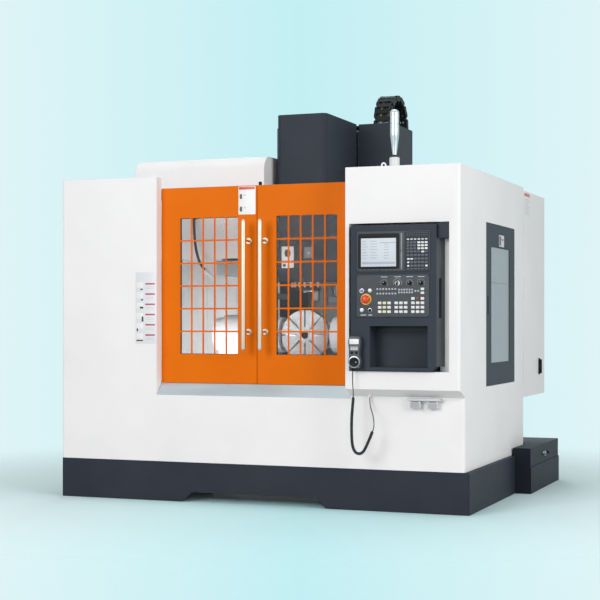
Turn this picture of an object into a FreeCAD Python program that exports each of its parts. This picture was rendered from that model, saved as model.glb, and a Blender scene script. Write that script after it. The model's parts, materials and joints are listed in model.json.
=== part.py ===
import FreeCAD, Part

import math
import os

# Five-axis vertical machining centre in a sheet-metal enclosure.
# Millimetres. While it is modelled, X runs to the right from the line where the two
# sliding doors meet, Y runs back from the front sheet and Z up from the floor. The
# finished pieces move so that the origin lies on the floor under the bed's middle.

V = FreeCAD.Vector
X_AXIS, Y_AXIS, Z_AXIS = V(1, 0, 0), V(0, 1, 0), V(0, 0, 1)

# ---- enclosure --------------------------------------------------------------------
BODY_HALF = 1315.0        # half the width over the side panels
BODY_DEPTH = 1530.0       # from the front sheet to the rear wall
BODY_TOP = 2000.0         # upper edge of the sheets
PLINTH_TOP = 243.0        # height of the dark base under the sheets
SHEET = 3.0               # thickness of the enclosure's sheets
CORNER_R = 20.0           # bend at the vertical corners
SEAM = 2.0                # gap between neighbouring panels
SIDE_FOLD = 40.0          # width of the folds along the side panels
FRONT_RETURN = 66.0       # depth of the folds round the door opening
OPENING_HALF = BODY_HALF - 670   # half the width of the door opening
SILL_BOTTOM = 653.0       # lower edge of the stainless sill
SILL_TOP = 725.0          # upper edge of the sill, where the doors stand

# ---- base and floor ---------------------------------------------------------------
PLINTH_PROUD = 27.0       # how far the base stands out on the right
PLINTH_WALL = 8.0
PLINTH_FLANGE = 70.0      # width of the ledge that carries the sheets
NOTCH_HALF_LOW = 470.0    # half the width of the front cut-out at the floor
NOTCH_HALF_HIGH = 400.0   # and at its top
NOTCH_HEIGHT = 60.0
BED_FRONT = 230.0
BED_BACK = 1920.0
BED_HALF = 360.0
BED_TOP = 430.0
COLUMN_FOOT_TOP = 520.0
ANCHOR_X = 300.0          # half the spacing of the anchor holes
ANCHOR_Y = 1500.0         # spacing of the anchor holes front to back
ANCHOR_R = 14.0

# ---- sliding doors ----------------------------------------------------------------
DOOR_FACE = 70.0          # front face of the doors behind the front sheet
DOOR_THICK = 30.0
DOOR_TOP = 1933.0
DOOR_SKIN = 2.0
DOOR_MEET = 2.0           # half the gap where the doors meet
DOOR_STROKE = OPENING_HALF - 95
WINDOW_IN = 127.0         # window edge nearest the meeting line
WINDOW_OUT = OPENING_HALF - 129   # window edge away from it
WINDOW_LOW = 905.0
WINDOW_HIGH = 1744.0
GRID_COLUMNS = 5
GRID_ROWS = 6
GRID_BAR = 10.0
GRID_DEEP = 4.0           # depth of the grid bars, which the pane rests against
PANE = 6.0
HANDLE_X = 54.0           # pull handles beside the meeting line
HANDLE_R = 14.0
HANDLE_LOW = 930.0
HANDLE_HIGH = 1722.0
HANDLE_REACH = 85.0       # from the door's face to the bar's axis
HANDLE_STUD_R = 8.0
HANDLE_STUDS = (1043.0, 1595.0)

# ---- operator box and panel -------------------------------------------------------
BOX_LEFT = OPENING_HALF - 18
BOX_FRONT = -100.0
BOX_BACK = FRONT_RETURN
BOX_LOW = 715.0           # where the sloping underside starts
BOX_SLOPE_LOW = 670.0     # where it meets the front sheet
RECESS_LEFT = BOX_LEFT + 23
RECESS_RIGHT = BODY_HALF - 66
RECESS_LOW = 819.0
RECESS_HIGH = 1672.0
RECESS_BACK = 37.0
PANEL_LEFT = BOX_LEFT + 42
PANEL_RIGHT = BODY_HALF - 137
PANEL_FRONT = -120.0
PANEL_LOW = 823.0
PANEL_HIGH = 1659.0
PANEL_SLOPE = 26.0        # chamfer along the housing's right lower corner
NICHE_LEFT = PANEL_LEFT + 114
NICHE_RIGHT = PANEL_RIGHT - 49
NICHE_LOW = 842.0
NICHE_HIGH = 1080.0
NICHE_DEPTH = 118.0
SLOT_FRONT = 28.0         # hand slot in the housing's right side, back from its front
SLOT_WIDE = 30.0
SLOT_LOW = 1132.0
SLOT_HIGH = 1370.0
SLOT_DEEP = 40.0
PLATE_PROUD = 6.0         # the two control plates stand out of the housing
PLATE_LAP = 8.0           # and lap this far over the edge of their cut-outs
DISPLAY_LEFT = PANEL_LEFT + 37
DISPLAY_RIGHT = PANEL_RIGHT - 35
DISPLAY_LOW = 1392.0
DISPLAY_HIGH = 1623.0
SCREEN_LEFT = DISPLAY_LEFT + 26
SCREEN_RIGHT = SCREEN_LEFT + 213
SCREEN_LOW = 1420.0
SCREEN_HIGH = 1585.0
BEZEL = 14.0
CONTROL_LEFT = DISPLAY_LEFT
CONTROL_RIGHT = PANEL_RIGHT - 39
CONTROL_LOW = 1132.0
CONTROL_HIGH = 1374.0
SELECTOR_X = tuple(CONTROL_LEFT + step for step in (166, 246, 319, 386))
SELECTOR_R = (11.0, 15.0, 11.0, 11.0)
SELECTOR_Z = 1325.0
SELECTOR_PROUD = 18.0
KEY_SWITCH_X = CONTROL_LEFT + 32
KEY_SWITCH_Z = 1283.0
BUTTON_R = 9.0
BUTTON_PROUD = 8.0
START_X = CONTROL_LEFT + 81
LOWER_BUTTON_Z = 1171.0
E_STOP_X = CONTROL_LEFT + 57
E_STOP_Z = 1234.0
E_STOP_R = 24.0
E_STOP_RING_R = 33.0
E_STOP_TRAVEL = 5.0
E_STOP_STEM_R = 8.0
STEM_R = 4.0              # stems of the selectors and the key switch
STEM_GAP = 0.8            # clearance round every turning or sliding stem
STEM_LONG = 16.0
# left edges of the three key blocks
KEY_BLOCKS = tuple(CONTROL_LEFT + step for step in (130, 229, 328))
KEY_BLOCK_TOP = 1219.0
KEY_PITCH_X = 27.0
KEY_PITCH_Z = 23.0
KEY_WIDE = 21.0
KEY_TALL = 17.0
KEY_PROUD = 4.0

# ---- hand-wheel pendant and its cord ----------------------------------------------
PENDANT_X = PANEL_LEFT + 35
PENDANT_WIDE = 76.0
PENDANT_WAIST = 62.0
PENDANT_LOW = 838.0
PENDANT_HIGH = 1022.0
PENDANT_THICK = 34.0
HOOK_GAP = 12.0           # the holder between the housing and the pendant
WHEEL_Z = 873.0
WHEEL_R = 27.0
WHEEL_THICK = 11.0
LEAD_R = 3.0
COIL_R = 9.5              # outer radius of the curly cord
CORD_Y = -139.0           # plane in which the cord hangs, in front of the box
CORD_SIDES = 6

# ---- fittings on the box ----------------------------------------------------------
LAMP_X = BOX_LEFT + 268
LAMP_Y = 0.0
LAMP_CUP_R = 31.0
LAMP_CUP_HIGH = 58.0
LAMP_NECK_R = 12.0
LAMP_TAPER_FROM = 72.0
LAMP_TAPER_TO = 183.0
LAMP_R = 26.0
LAMP_HIGH = 337.0
EYE_X = BOX_LEFT + 202
EYE_R = 12.0
EYE_WIRE_R = 4.0
SOCKET_X = (BOX_LEFT + 401, BOX_LEFT + 506)
SOCKET_WIDE = 65.0
SOCKET_HIGH = 46.0
SOCKET_TOP = 664.0        # upper edge of the sockets' plate
SOCKET_PLATE = 14.0
GLAND_X = BOX_LEFT + 123           # gland in the box's sloping underside
GLAND_Y = -20.0
GLAND_LOW = 664.0

# ---- right side and rear ----------------------------------------------------------
SIDE_DOOR_FRONT = 500.0
SIDE_DOOR_BACK = 1255.0
SIDE_DOOR_LOW = 717.0
SIDE_DOOR_HIGH = 1702.0
SIDE_DOOR_THICK = 25.0
SIDE_DOOR_GAP = 3.0
SIDE_PANE_FRONT = 624.0
SIDE_PANE_BACK = 1112.0
SIDE_PANE_LOW = 850.0
SIDE_PANE_HIGH = 1564.0
CUP_HANDLE_Y = 540.0
CUP_HANDLE_LOW = 1150.0
CUP_HANDLE_HIGH = 1260.0
CABINET_BACK = BODY_DEPTH + 670
CABINET_LOW = 600.0
CABINET_HIGH = 1980.0
CABINET_DEEP = 400.0      # from the machine's right side inwards
CABINET_DOOR_THICK = 22.0
LATCH_Y = 2010.0
LATCH_LOW = 735.0
LATCH_HIGH = 850.0
LATCH_STEM_R = 9.0
TANK_RIGHT = BODY_HALF + 125
TANK_FRONT = 1165.0
TANK_BACK = 2060.0
TANK_LEFT = BED_HALF + 60
TANK_TOP = 290.0
TANK_SEAM = 170.0
TANK_PROUD = 5.0

# ---- column, head and their covers ------------------------------------------------
COLUMN_HALF = 240.0
COLUMN_FRONT = 1500.0
COLUMN_BACK = 1870.0
COLUMN_TOP = 2430.0
COVER_LEFT = -420.0
COVER_RIGHT = 430.0
COVER_FRONT = 1430.0
COVER_BACK = 1900.0
COVER_TOP = COLUMN_TOP + 33
COVER_LOW = 800.0
COVER_SLOT_HALF = 186.0   # half the width of the gap that the head's carriage runs in
HEAD_HALF = 174.0
HEAD_FRONT = 810.0
HEAD_BACK = 1420.0
HEAD_LOW = 1363.0
HEAD_TOP = COVER_TOP
HEAD_BODY_TOP = 1800.0    # top of the head casting, where its motor stands
MOTOR_R = 100.0
HEAD_CORNER_R = 36.0
SPINDLE_Y = 970.0
NOSE_LOW = 1310.0
NOSE_R = 72.0
SPINDLE_R = 44.0
SPINDLE_LOW = 1302.0
TAPER_R = 22.3            # mouth of the 7:24 taper
TAPER_DEEP = 65.0
SPINDLE_GAP = 0.6
RAIL = 45.0               # width of the linear guideways
RAIL_HIGH = 38.0
Z_RAIL_X = 150.0
CARRIAGE_LOW = 1450.0
CARRIAGE_HIGH = 1990.0

# ---- slides and table -------------------------------------------------------------
SADDLE_HALF = 620.0
SADDLE_DEEP = 520.0
SADDLE_LOW = 478.0
SADDLE_TOP = 590.0
Y_RAIL_X = 230.0
X_RAIL_Y = 180.0          # from the table's middle to each X guideway
TABLE_HALF = 500.0
TABLE_DEEP = 500.0
TABLE_LOW = 635.0
TABLE_TOP = 745.0
SLOT_PITCH = 170.0
SLOT_COUNT = 3
T_SLOT = 18.0
T_SLOT_HEAD = 30.0
SCREW_R = 20.0
SCREW_GAP = 1.0
BEARING_LONG = 40.0       # length of the blocks that carry the screws' ends
Y_SCREW_FRONT = 245.0
Y_SCREW_BACK = 1385.0
Y_SCREW_Z = BED_TOP + 20
Y_RAIL_BACK = COLUMN_FRONT - 80
TROUGH_DEEP = 130.0       # depth of the bed's trough between the guideways
X_SCREW_HALF = 600.0      # half the length over the screw's bearings
X_SCREW_Z = SADDLE_TOP + 22
Z_SCREW_Y = COLUMN_FRONT - 15
Z_SCREW_LOW = 1235.0
Z_SCREW_HIGH = COLUMN_TOP - 20
BLOCK_GAP = 0.5           # running gap between rails and what slides on them
BODY_GAP = 0.5            # gap where the chain's end meets the head's bracket

# ---- trunnion ---------------------------------------------------------------------
TILT_Z = 1016.0           # height of the tilt axis
BASE_PLATE = 30.0
DRIVE_LEFT = -600.0
DRIVE_RIGHT = -252.0
CAP_R = 115.0
CAP_THICK = 60.0
CAP_BORE_R = 46.0
SUPPORT_LEFT = 252.0
SUPPORT_RIGHT = 372.0
TRUNNION_HEAD_R = 135.0   # rounded top of both housings
CHEEK_IN = 180.0
CHEEK_OUT = 244.0
CHEEK_R = 118.0
JOURNAL_R = 60.0
JOURNAL_LONG = 50.0
TABLE_R = 165.0
TABLE_FACE = 90.0         # rotary table's face in front of the tilt axis
TABLE_THICK = 44.0
HUB_R = 70.0
HUB_LONG = 40.0
TABLE_BORE_R = 25.0
RADIAL_SLOTS = 8
RADIAL_SLOT = 12.0
RADIAL_DEEP = 16.0

# ---- tool magazine and changer ----------------------------------------------------
MAG_LEFT = 157 - BODY_HALF
MAG_RIGHT = -217.0
MAG_FRONT = 700.0
MAG_TOP = 2190.0
MAG_LOW = 1520.0
MAG_CORNER_R = 95.0
HOUSING_LEFT = -640.0
HOUSING_RIGHT = -228.0
HOUSING_FRONT = 880.0
HOUSING_LOW = 1414.0
DISC_Y = 1050.0
DISC_Z = 1840.0
DISC_R = 235.0
DISC_FACE = -700.0        # plane of the magazine disc
DISC_THICK = 24.0
DISC_PIN_R = 20.0
POTS = 12
POT_CIRCLE = 268.0
POT_R = 27.0
POT_LONG = 90.0
ARM_X = -262.0
ARM_HALF = 262.0
ARM_TOP = 1290.0
ARM_THICK = 34.0
ARM_WIDE = 84.0
SHAFT_R = 30.0
HUB_OUT_R = 48.0
GRIP_R = 32.0
ARM_DROP = 95.0           # how far the arm pulls a tool down

# ---- drag chain -------------------------------------------------------------------
CHAIN_LEFT = 290.0
CHAIN_RIGHT = 414.0
CHAIN_Y = 1649.0          # middle of the arch
CHAIN_R = 190.0           # radius at the link pins
CHAIN_HALF_HIGH = 20.0    # half the height of a link's side
CHAIN_TOP = COVER_TOP + 217
CHAIN_ARCH_LINKS = 12     # links in the half turn
CHAIN_LEG_LINKS = 4       # straight links under each end of the arch
LINK_SIDE = 9.0
LINK_BAR = 12.0

# ---- wash hose, guards, rails -----------------------------------------------------
GUARD_LEFT = 145 - BODY_HALF
GUARD_FRONT = 130.0
GUARD_BACK = COVER_FRONT - SHEET
GUARD_LAP = 20.0          # how far the rear guards lap over the column cover
DOOR_FRAME_DEEP = 30.0    # depth of the frame round the side door
GUARD_RIGHT = BODY_HALF - SHEET - DOOR_FRAME_DEEP
RAIL_LOW = 593.0          # foot of the door rails
GUARD_TOP = 1940.0
GUARD_FOOT = 620.0
SLOPE_FOOT = 300.0        # lower edge of the chip floors beside the bed
FLOOR_GAP = 30.0          # between the chip floors and the bed
TRACK_HIGH = 12.0
HOSE_R = 9.0
HOSE_Y = 660.0            # the hose hangs in front of the magazine hood
HOSE_POINTS = (
    V(-701, HOSE_Y, 1800), V(-702, HOSE_Y, 1700), V(-688, HOSE_Y, 1572),
    V(-652, HOSE_Y, 1470), V(-606, HOSE_Y, 1431),
)

BED_MIDDLE = (BED_FRONT + BED_BACK) / 2
ORIGIN = V(0, BED_MIDDLE, 0)


# ---- helpers ----------------------------------------------------------------------
def block(x0, x1, y0, y1, z0, z1):
    """A box between two corners."""
    return Part.makeBox(x1 - x0, y1 - y0, z1 - z0, V(x0, y0, z0))


def rod(radius, start, axis, length):
    """A round bar from a point along an axis."""
    return Part.makeCylinder(radius, length, start, axis)


def ring_points(radius, sides, centre, axis):
    """The corners of a regular polygon square to an axis."""
    turn = FreeCAD.Rotation(Z_AXIS, axis)
    angles = [2 * math.pi * (k + 0.5) / sides for k in range(sides)]
    return [centre + turn.multVec(V(radius * math.cos(t), radius * math.sin(t), 0))
            for t in angles]


def faceted(radius, sides, start, axis, length):
    """A many-sided bar, such as a knurled knob or a small boss."""
    return prism(ring_points(radius, sides, start, axis), axis * length)


def bore(radius, sides, start, axis, length):
    """A many-sided hole that clears a round bar of a radius."""
    return faceted(radius / math.cos(math.pi / sides), sides, start, axis, length)


def tapered(low_radius, high_radius, sides, start, axis, length):
    """A many-sided taper between two radii, with flat sides."""
    low = ring_points(low_radius, sides, start, axis)
    high = ring_points(high_radius, sides, start + axis * length, axis)
    outlines = [low, high]
    for k in range(sides):
        after = (k + 1) % sides
        outlines.append([low[k], low[after], high[after], high[k]])
    faces = [Part.Face(Part.makePolygon(line + [line[0]])) for line in outlines]
    solid = Part.Solid(Part.makeShell(faces))
    if solid.Volume < 0:
        solid.reverse()
    return solid


def prism(points, along):
    """A polygon pushed along a vector."""
    return Part.Face(Part.makePolygon(points + [points[0]])).extrude(along)


def join(*shapes):
    """Several shapes as one solid, without leftover seams."""
    return shapes[0].fuse(list(shapes[1:])).removeSplitter()


def rounded(shape, radius, picks):
    """Fillets the straight edges whose middle passes a test."""
    edges = [edge for edge in shape.Edges if picks(edge.CenterOfMass, edge)]
    return shape.makeFillet(radius, edges)


def upright(edge):
    """Whether an edge runs straight up."""
    ends = edge.Vertexes
    if len(ends) != 2:
        return False
    step = ends[1].Point - ends[0].Point
    return abs(step.x) + abs(step.y) < 0.01 and abs(step.z) > 0.01


def fillet_path(points):
    """Straight runs joined by arcs as large as the runs allow, with their radii."""
    edges = []
    radii = []
    start = points[0]
    for before, corner, after in zip(points, points[1:], points[2:]):
        come = (corner - before).normalize()
        go = (after - corner).normalize()
        turn = come.getAngle(go)
        reach = 0.45 * min(before.distanceToPoint(corner), corner.distanceToPoint(after))
        radii.append(reach / math.tan(turn / 2))
        arc_from = corner - come * reach
        arc_to = corner + go * reach
        inward = (go - come).normalize()
        middle = corner + inward * (radii[-1] / math.cos(turn / 2) - radii[-1])
        edges.append(Part.LineSegment(start, arc_from).toShape())
        edges.append(Part.Arc(arc_from, middle, arc_to).toShape())
        start = arc_to
    edges.append(Part.LineSegment(start, points[-1]).toShape())
    return Part.Wire(edges), radii


def cord_section(start, along, radius):
    """The faceted section of a cord, square to its first run."""
    turn = FreeCAD.Rotation(Z_AXIS, along)
    ring = [turn.multVec(V(radius * math.cos(2 * math.pi * k / CORD_SIDES),
                           radius * math.sin(2 * math.pi * k / CORD_SIDES), 0)) + start
            for k in range(CORD_SIDES)]
    return Part.makePolygon(ring + [ring[0]])


def tube(points, radius):
    """A cord or hose along a route, with the route's bend radii."""
    path, radii = fillet_path(points)
    first = (points[1] - points[0]).normalize()
    section = cord_section(points[0], first, radius)
    return path.makePipeShell([section], True, False), radii


# ---- enclosure --------------------------------------------------------------------
def enclosure_ring():
    """The four outer walls as one bent sheet with rounded corners, before the seams."""
    outer = block(-BODY_HALF, BODY_HALF, 0, BODY_DEPTH, PLINTH_TOP, BODY_TOP)
    outer = rounded(outer, CORNER_R, lambda middle, edge: upright(edge))
    inner = block(-BODY_HALF + SHEET, BODY_HALF - SHEET, SHEET, BODY_DEPTH - SHEET,
                  PLINTH_TOP - 1, BODY_TOP + 1)
    inner = rounded(inner, CORNER_R - SHEET, lambda middle, edge: upright(edge))
    return outer.cut(inner)


def front_enclosure():
    """The seamless front sheet with its door opening and the folds round it."""
    ring = enclosure_ring().common(
        block(-BODY_HALF, BODY_HALF, 0, FRONT_RETURN, PLINTH_TOP, BODY_TOP))
    ring = ring.cut(block(-OPENING_HALF, BOX_LEFT, -1, SHEET + 1, SILL_BOTTOM, BODY_TOP + 1))
    ring = ring.cut(block(BOX_LEFT, BODY_HALF + 1, -1, FRONT_RETURN + 1,
                          BOX_SLOPE_LOW, BODY_TOP + 1))
    fold = block(-OPENING_HALF - SHEET, -OPENING_HALF, 0, FRONT_RETURN, SILL_BOTTOM, BODY_TOP)
    cap = block(-BODY_HALF + CORNER_R, -OPENING_HALF, SHEET, FRONT_RETURN,
                BODY_TOP - SHEET, BODY_TOP)
    ledge = block(-OPENING_HALF - SHEET, BOX_LEFT, 0, FRONT_RETURN,
                  SILL_BOTTOM - SHEET, SILL_BOTTOM)
    shelf = block(BOX_LEFT, BODY_HALF - CORNER_R, SHEET, FRONT_RETURN,
                  BOX_SLOPE_LOW - SHEET, BOX_SLOPE_LOW)
    return join(ring, fold, cap, ledge, shelf)


def side_folds(low_x, high_x):
    """The folds along the foot and head of a side panel."""
    front, back = FRONT_RETURN + SEAM, BODY_DEPTH - CORNER_R - SEAM
    return [block(low_x, high_x, front, back, PLINTH_TOP, PLINTH_TOP + SHEET),
            block(low_x, high_x, front, back, BODY_TOP - SHEET, BODY_TOP)]


def left_side_panel():
    """The plain left wall with its folds."""
    wall = enclosure_ring().common(
        block(-BODY_HALF, -BODY_HALF + CORNER_R, FRONT_RETURN + SEAM,
              BODY_DEPTH - CORNER_R - SEAM, PLINTH_TOP, BODY_TOP))
    return join(wall, *side_folds(-BODY_HALF + SHEET, -BODY_HALF + SIDE_FOLD))


def right_side_panel():
    """The right wall with the side door's framed opening, running up beside the box."""
    back = BODY_DEPTH - CORNER_R - SEAM
    wall = enclosure_ring().common(block(BODY_HALF - CORNER_R, BODY_HALF, FRONT_RETURN + SEAM,
                                         back, PLINTH_TOP, BODY_TOP))
    gap = SIDE_DOOR_GAP
    rim = 20.0
    opening = block(GUARD_RIGHT - 1, BODY_HALF + 1, SIDE_DOOR_FRONT - gap,
                    SIDE_DOOR_BACK + gap, SIDE_DOOR_LOW - gap, SIDE_DOOR_HIGH + gap)
    frame = block(GUARD_RIGHT, BODY_HALF - SHEET, SIDE_DOOR_FRONT - rim, SIDE_DOOR_BACK + rim,
                  SIDE_DOOR_LOW - rim, SIDE_DOOR_HIGH + rim)
    folds = side_folds(BODY_HALF - SIDE_FOLD, BODY_HALF - SHEET)
    return join(wall, *folds, frame).cut(opening)


def rear_enclosure():
    """The back wall, open round the column, with flanges inside the side panels."""
    wall = enclosure_ring().common(
        block(-BODY_HALF, BODY_HALF, BODY_DEPTH - CORNER_R, BODY_DEPTH, PLINTH_TOP, BODY_TOP))
    gap = 6.0
    wall = wall.cut(block(COVER_LEFT - gap, COVER_RIGHT + gap, BODY_DEPTH - CORNER_R - 1,
                          BODY_DEPTH + 1, PLINTH_TOP - 1, BODY_TOP + 1))
    parts = []
    for left, right in ((-BODY_HALF + SIDE_FOLD, COVER_LEFT - gap),
                        (COVER_RIGHT + gap, BODY_HALF - SIDE_FOLD)):
        parts.append(block(left, right, BODY_DEPTH - SIDE_FOLD, BODY_DEPTH - SHEET,
                           BODY_TOP - SHEET, BODY_TOP))
    for near, far in ((-BODY_HALF + SHEET, -BODY_HALF + 3 * SHEET),
                      (BODY_HALF - 3 * SHEET, BODY_HALF - SHEET)):
        parts.append(block(near, far, BODY_DEPTH - 2 * SIDE_FOLD, BODY_DEPTH - 12,
                           PLINTH_TOP + SHEET, BODY_TOP - SHEET))
    return join(wall, *parts)


def base_plinth():
    """The dark skirt: folded walls with a ledge, open under the bed and for the tank."""
    left, right = -BODY_HALF + 5, BODY_HALF + PLINTH_PROUD
    wall = PLINTH_WALL
    outer = block(left, right, 0, BODY_DEPTH, 0, PLINTH_TOP)
    inner = block(left + wall, right - wall, wall, BODY_DEPTH - wall, -1, PLINTH_TOP - wall)
    window = block(left + PLINTH_FLANGE, right - PLINTH_FLANGE, PLINTH_FLANGE,
                   BODY_DEPTH - PLINTH_FLANGE, PLINTH_TOP - wall - 1, PLINTH_TOP + 1)
    skirt = outer.cut(inner).cut(window)
    notch = prism([V(-NOTCH_HALF_LOW, -1, -1), V(-NOTCH_HALF_LOW, -1, 0),
                   V(-NOTCH_HALF_HIGH, -1, NOTCH_HEIGHT), V(NOTCH_HALF_HIGH, -1, NOTCH_HEIGHT),
                   V(NOTCH_HALF_LOW, -1, 0), V(NOTCH_HALF_LOW, -1, -1)], V(0, wall + 2, 0))
    tank_bay = block(BED_HALF + 9, right + 1, TANK_FRONT - 10, BODY_DEPTH + 1,
                     -1, PLINTH_TOP + 1)
    bed_bay = block(-BED_HALF - 10, BED_HALF + 10, BODY_DEPTH - PLINTH_FLANGE - 1,
                    BODY_DEPTH + 1, -1, PLINTH_TOP + 1)
    skirt = skirt.cut([notch, tank_bay, bed_bay])
    closer = block(BED_HALF + 10, right, TANK_FRONT - 10 - wall, TANK_FRONT - 10, 0,
                   PLINTH_TOP)
    return join(skirt, closer)


def chip_floor(outer_x, inner_x):
    """A sloping sheet from a side guard down towards the bed."""
    thick = SHEET
    profile = [V(outer_x, GUARD_FRONT, GUARD_FOOT), V(inner_x, GUARD_FRONT, SLOPE_FOOT),
               V(inner_x, GUARD_FRONT, SLOPE_FOOT + thick),
               V(outer_x, GUARD_FRONT, GUARD_FOOT + thick)]
    return prism(profile, V(0, GUARD_BACK - GUARD_FRONT, 0))


def inner_guards():
    """Light-grey chamber lining: side and rear walls over sloping chip floors."""
    thick = SHEET
    left = block(GUARD_LEFT, GUARD_LEFT + thick, GUARD_FRONT, GUARD_BACK, GUARD_FOOT, GUARD_TOP)
    right = block(GUARD_RIGHT - thick, GUARD_RIGHT, GUARD_FRONT, GUARD_BACK, GUARD_FOOT,
                  GUARD_TOP)
    opening = block(GUARD_RIGHT - thick - 1, GUARD_RIGHT + 1, SIDE_DOOR_FRONT + 20,
                    SIDE_DOOR_BACK - 20, SIDE_DOOR_LOW + 20, SIDE_DOOR_HIGH - 20)
    rears = [block(near, far, GUARD_BACK, GUARD_BACK + thick, GUARD_FOOT, GUARD_TOP)
             for near, far in ((GUARD_LEFT, COVER_LEFT + GUARD_LAP),
                               (COVER_RIGHT - GUARD_LAP, GUARD_RIGHT))]
    floors = [chip_floor(GUARD_LEFT, -BED_HALF - FLOOR_GAP),
              chip_floor(GUARD_RIGHT, BED_HALF + FLOOR_GAP)]
    apron = block(GUARD_LEFT, GUARD_RIGHT, GUARD_FRONT - thick, GUARD_FRONT, SLOPE_FOOT,
                  RAIL_LOW)
    stays = [block(near, near + FLOOR_GAP, BED_FRONT + 325, BED_FRONT + 365, SLOPE_FOOT,
                   SLOPE_FOOT + thick) for near in (-BED_HALF - FLOOR_GAP, BED_HALF)]
    return join(left, right.cut(opening), *rears, *floors, apron, *stays)


def door_rails():
    """The upper door rail behind the doors, the lower track and the posts between them."""
    span = OPENING_HALF + DOOR_STROKE + 60
    front = DOOR_FACE + DOOR_THICK + 4
    leaf = front + 6
    hanger = block(-span, span, front, leaf, DOOR_TOP - 70, DOOR_TOP - 4)
    lip = block(-span, span, front, GUARD_FRONT, DOOR_TOP - 10, DOOR_TOP - 4)
    posts = [block(near, near + 20, leaf, GUARD_FRONT, RAIL_LOW, DOOR_TOP - 10)
             for near in (-span, span - 20)]
    track = block(-span, span, front, leaf, RAIL_LOW, SILL_TOP + TRACK_HIGH)
    foot = block(-span, span, front, GUARD_FRONT, RAIL_LOW, RAIL_LOW + 6)
    return join(hanger, lip, *posts, track, foot)


def door_sill():
    """Stainless sill: a sloping face, a flat tread under the doors and a back fold."""
    profile = [V(0, 1, SILL_BOTTOM), V(0, DOOR_FACE - 6, SILL_TOP), V(0, 102, SILL_TOP),
               V(0, 102, SILL_TOP - 30), V(0, 100, SILL_TOP - 30), V(0, 100, SILL_TOP - 3),
               V(0, DOOR_FACE - 5, SILL_TOP - 3), V(0, 4, SILL_BOTTOM)]
    profile = [V(-OPENING_HALF + 1, p.y, p.z) for p in profile]
    return prism(profile, V(BOX_LEFT + OPENING_HALF - 2, 0, 0))


# ---- doors ------------------------------------------------------------------------
def window_span(side):
    """The left and right edges of a door's window."""
    return sorted((side * WINDOW_IN, side * WINDOW_OUT))


def sliding_door(side):
    """A folded door pan whose front skin carries the window grid. side is -1 or 1."""
    meet, far = side * DOOR_MEET, side * OPENING_HALF
    low, high = sorted((meet, far))
    foot, head = SILL_TOP + 2, DOOR_TOP
    back = DOOR_FACE + DOOR_THICK
    pan = block(low, high, DOOR_FACE, back, foot, head)
    hollow = block(low + DOOR_SKIN, high - DOOR_SKIN, DOOR_FACE + DOOR_SKIN, back + 1,
                   foot + DOOR_SKIN, head - DOOR_SKIN)
    pan = pan.cut(hollow)
    left, right = window_span(side)
    hole = block(left, right, DOOR_FACE - 1, DOOR_FACE + DOOR_SKIN + 1,
                 WINDOW_LOW, WINDOW_HIGH)
    pan = pan.cut(hole)
    frame = block(left - 16, right + 16, DOOR_FACE + DOOR_SKIN, back - 8,
                  WINDOW_LOW - 16, WINDOW_HIGH + 16)
    frame = frame.cut(block(left - 3, right + 3, DOOR_FACE, back, WINDOW_LOW - 3,
                            WINDOW_HIGH + 3))
    bars = []
    column = (right - left) / GRID_COLUMNS
    row = (WINDOW_HIGH - WINDOW_LOW) / GRID_ROWS
    bar_back = DOOR_FACE + GRID_DEEP
    for index in range(1, GRID_COLUMNS):
        x = left + column * index
        bars.append(block(x - GRID_BAR / 2, x + GRID_BAR / 2, DOOR_FACE, bar_back,
                          WINDOW_LOW - 1, WINDOW_HIGH + 1))
    for index in range(1, GRID_ROWS):
        z = WINDOW_LOW + row * index
        bars.append(block(left - 1, right + 1, DOOR_FACE, bar_back,
                          z - GRID_BAR / 2, z + GRID_BAR / 2))
    return join(pan, frame, *bars)


def door_pane(side):
    """The laminated pane inside the window frame, behind the grid."""
    left, right = window_span(side)
    front = DOOR_FACE + GRID_DEEP
    return block(left - 2.5, right + 2.5, front, front + PANE, WINDOW_LOW - 2.5,
                 WINDOW_HIGH + 2.5)


def door_handle(side):
    """A round pull bar on two studs."""
    axis_y = DOOR_FACE - HANDLE_REACH
    bar = faceted(HANDLE_R, 16, V(side * HANDLE_X, axis_y, HANDLE_LOW), Z_AXIS,
                  HANDLE_HIGH - HANDLE_LOW)
    studs = [faceted(HANDLE_STUD_R, 8, V(side * HANDLE_X, axis_y, z), Y_AXIS, HANDLE_REACH)
             for z in HANDLE_STUDS]
    return join(bar, *studs)


def side_door():
    """The dark side door: a flat pan with a window opening and a sunk cup handle."""
    x0, x1 = BODY_HALF - SIDE_DOOR_THICK, BODY_HALF
    pan = block(x0, x1, SIDE_DOOR_FRONT, SIDE_DOOR_BACK, SIDE_DOOR_LOW, SIDE_DOOR_HIGH)
    hole = block(x0 - 1, x1 + 1, SIDE_PANE_FRONT, SIDE_PANE_BACK, SIDE_PANE_LOW,
                 SIDE_PANE_HIGH)
    rebate = block(x1 - 9, x1 - 2, SIDE_PANE_FRONT - 6, SIDE_PANE_BACK + 6,
                   SIDE_PANE_LOW - 6, SIDE_PANE_HIGH + 6)
    cup = block(x1 - 15, x1 + 1, CUP_HANDLE_Y - 14, CUP_HANDLE_Y + 14, CUP_HANDLE_LOW,
                CUP_HANDLE_HIGH)
    hollow = block(x0 - 1, x0 + 14, SIDE_DOOR_FRONT + 30, SIDE_PANE_FRONT - 30,
                   SIDE_DOOR_LOW + 30, CUP_HANDLE_LOW - 30)
    pan = pan.cut([hole, rebate, cup, hollow])
    pull = block(x1 - 15, x1 - 1, CUP_HANDLE_Y - 4, CUP_HANDLE_Y + 4,
                 CUP_HANDLE_LOW + 6, CUP_HANDLE_HIGH - 6)
    web = block(x1 - 17, x1 - 12, CUP_HANDLE_Y - 4, CUP_HANDLE_Y + 4,
                CUP_HANDLE_LOW + 6, CUP_HANDLE_HIGH - 6)
    return join(pan, pull, web)


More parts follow.
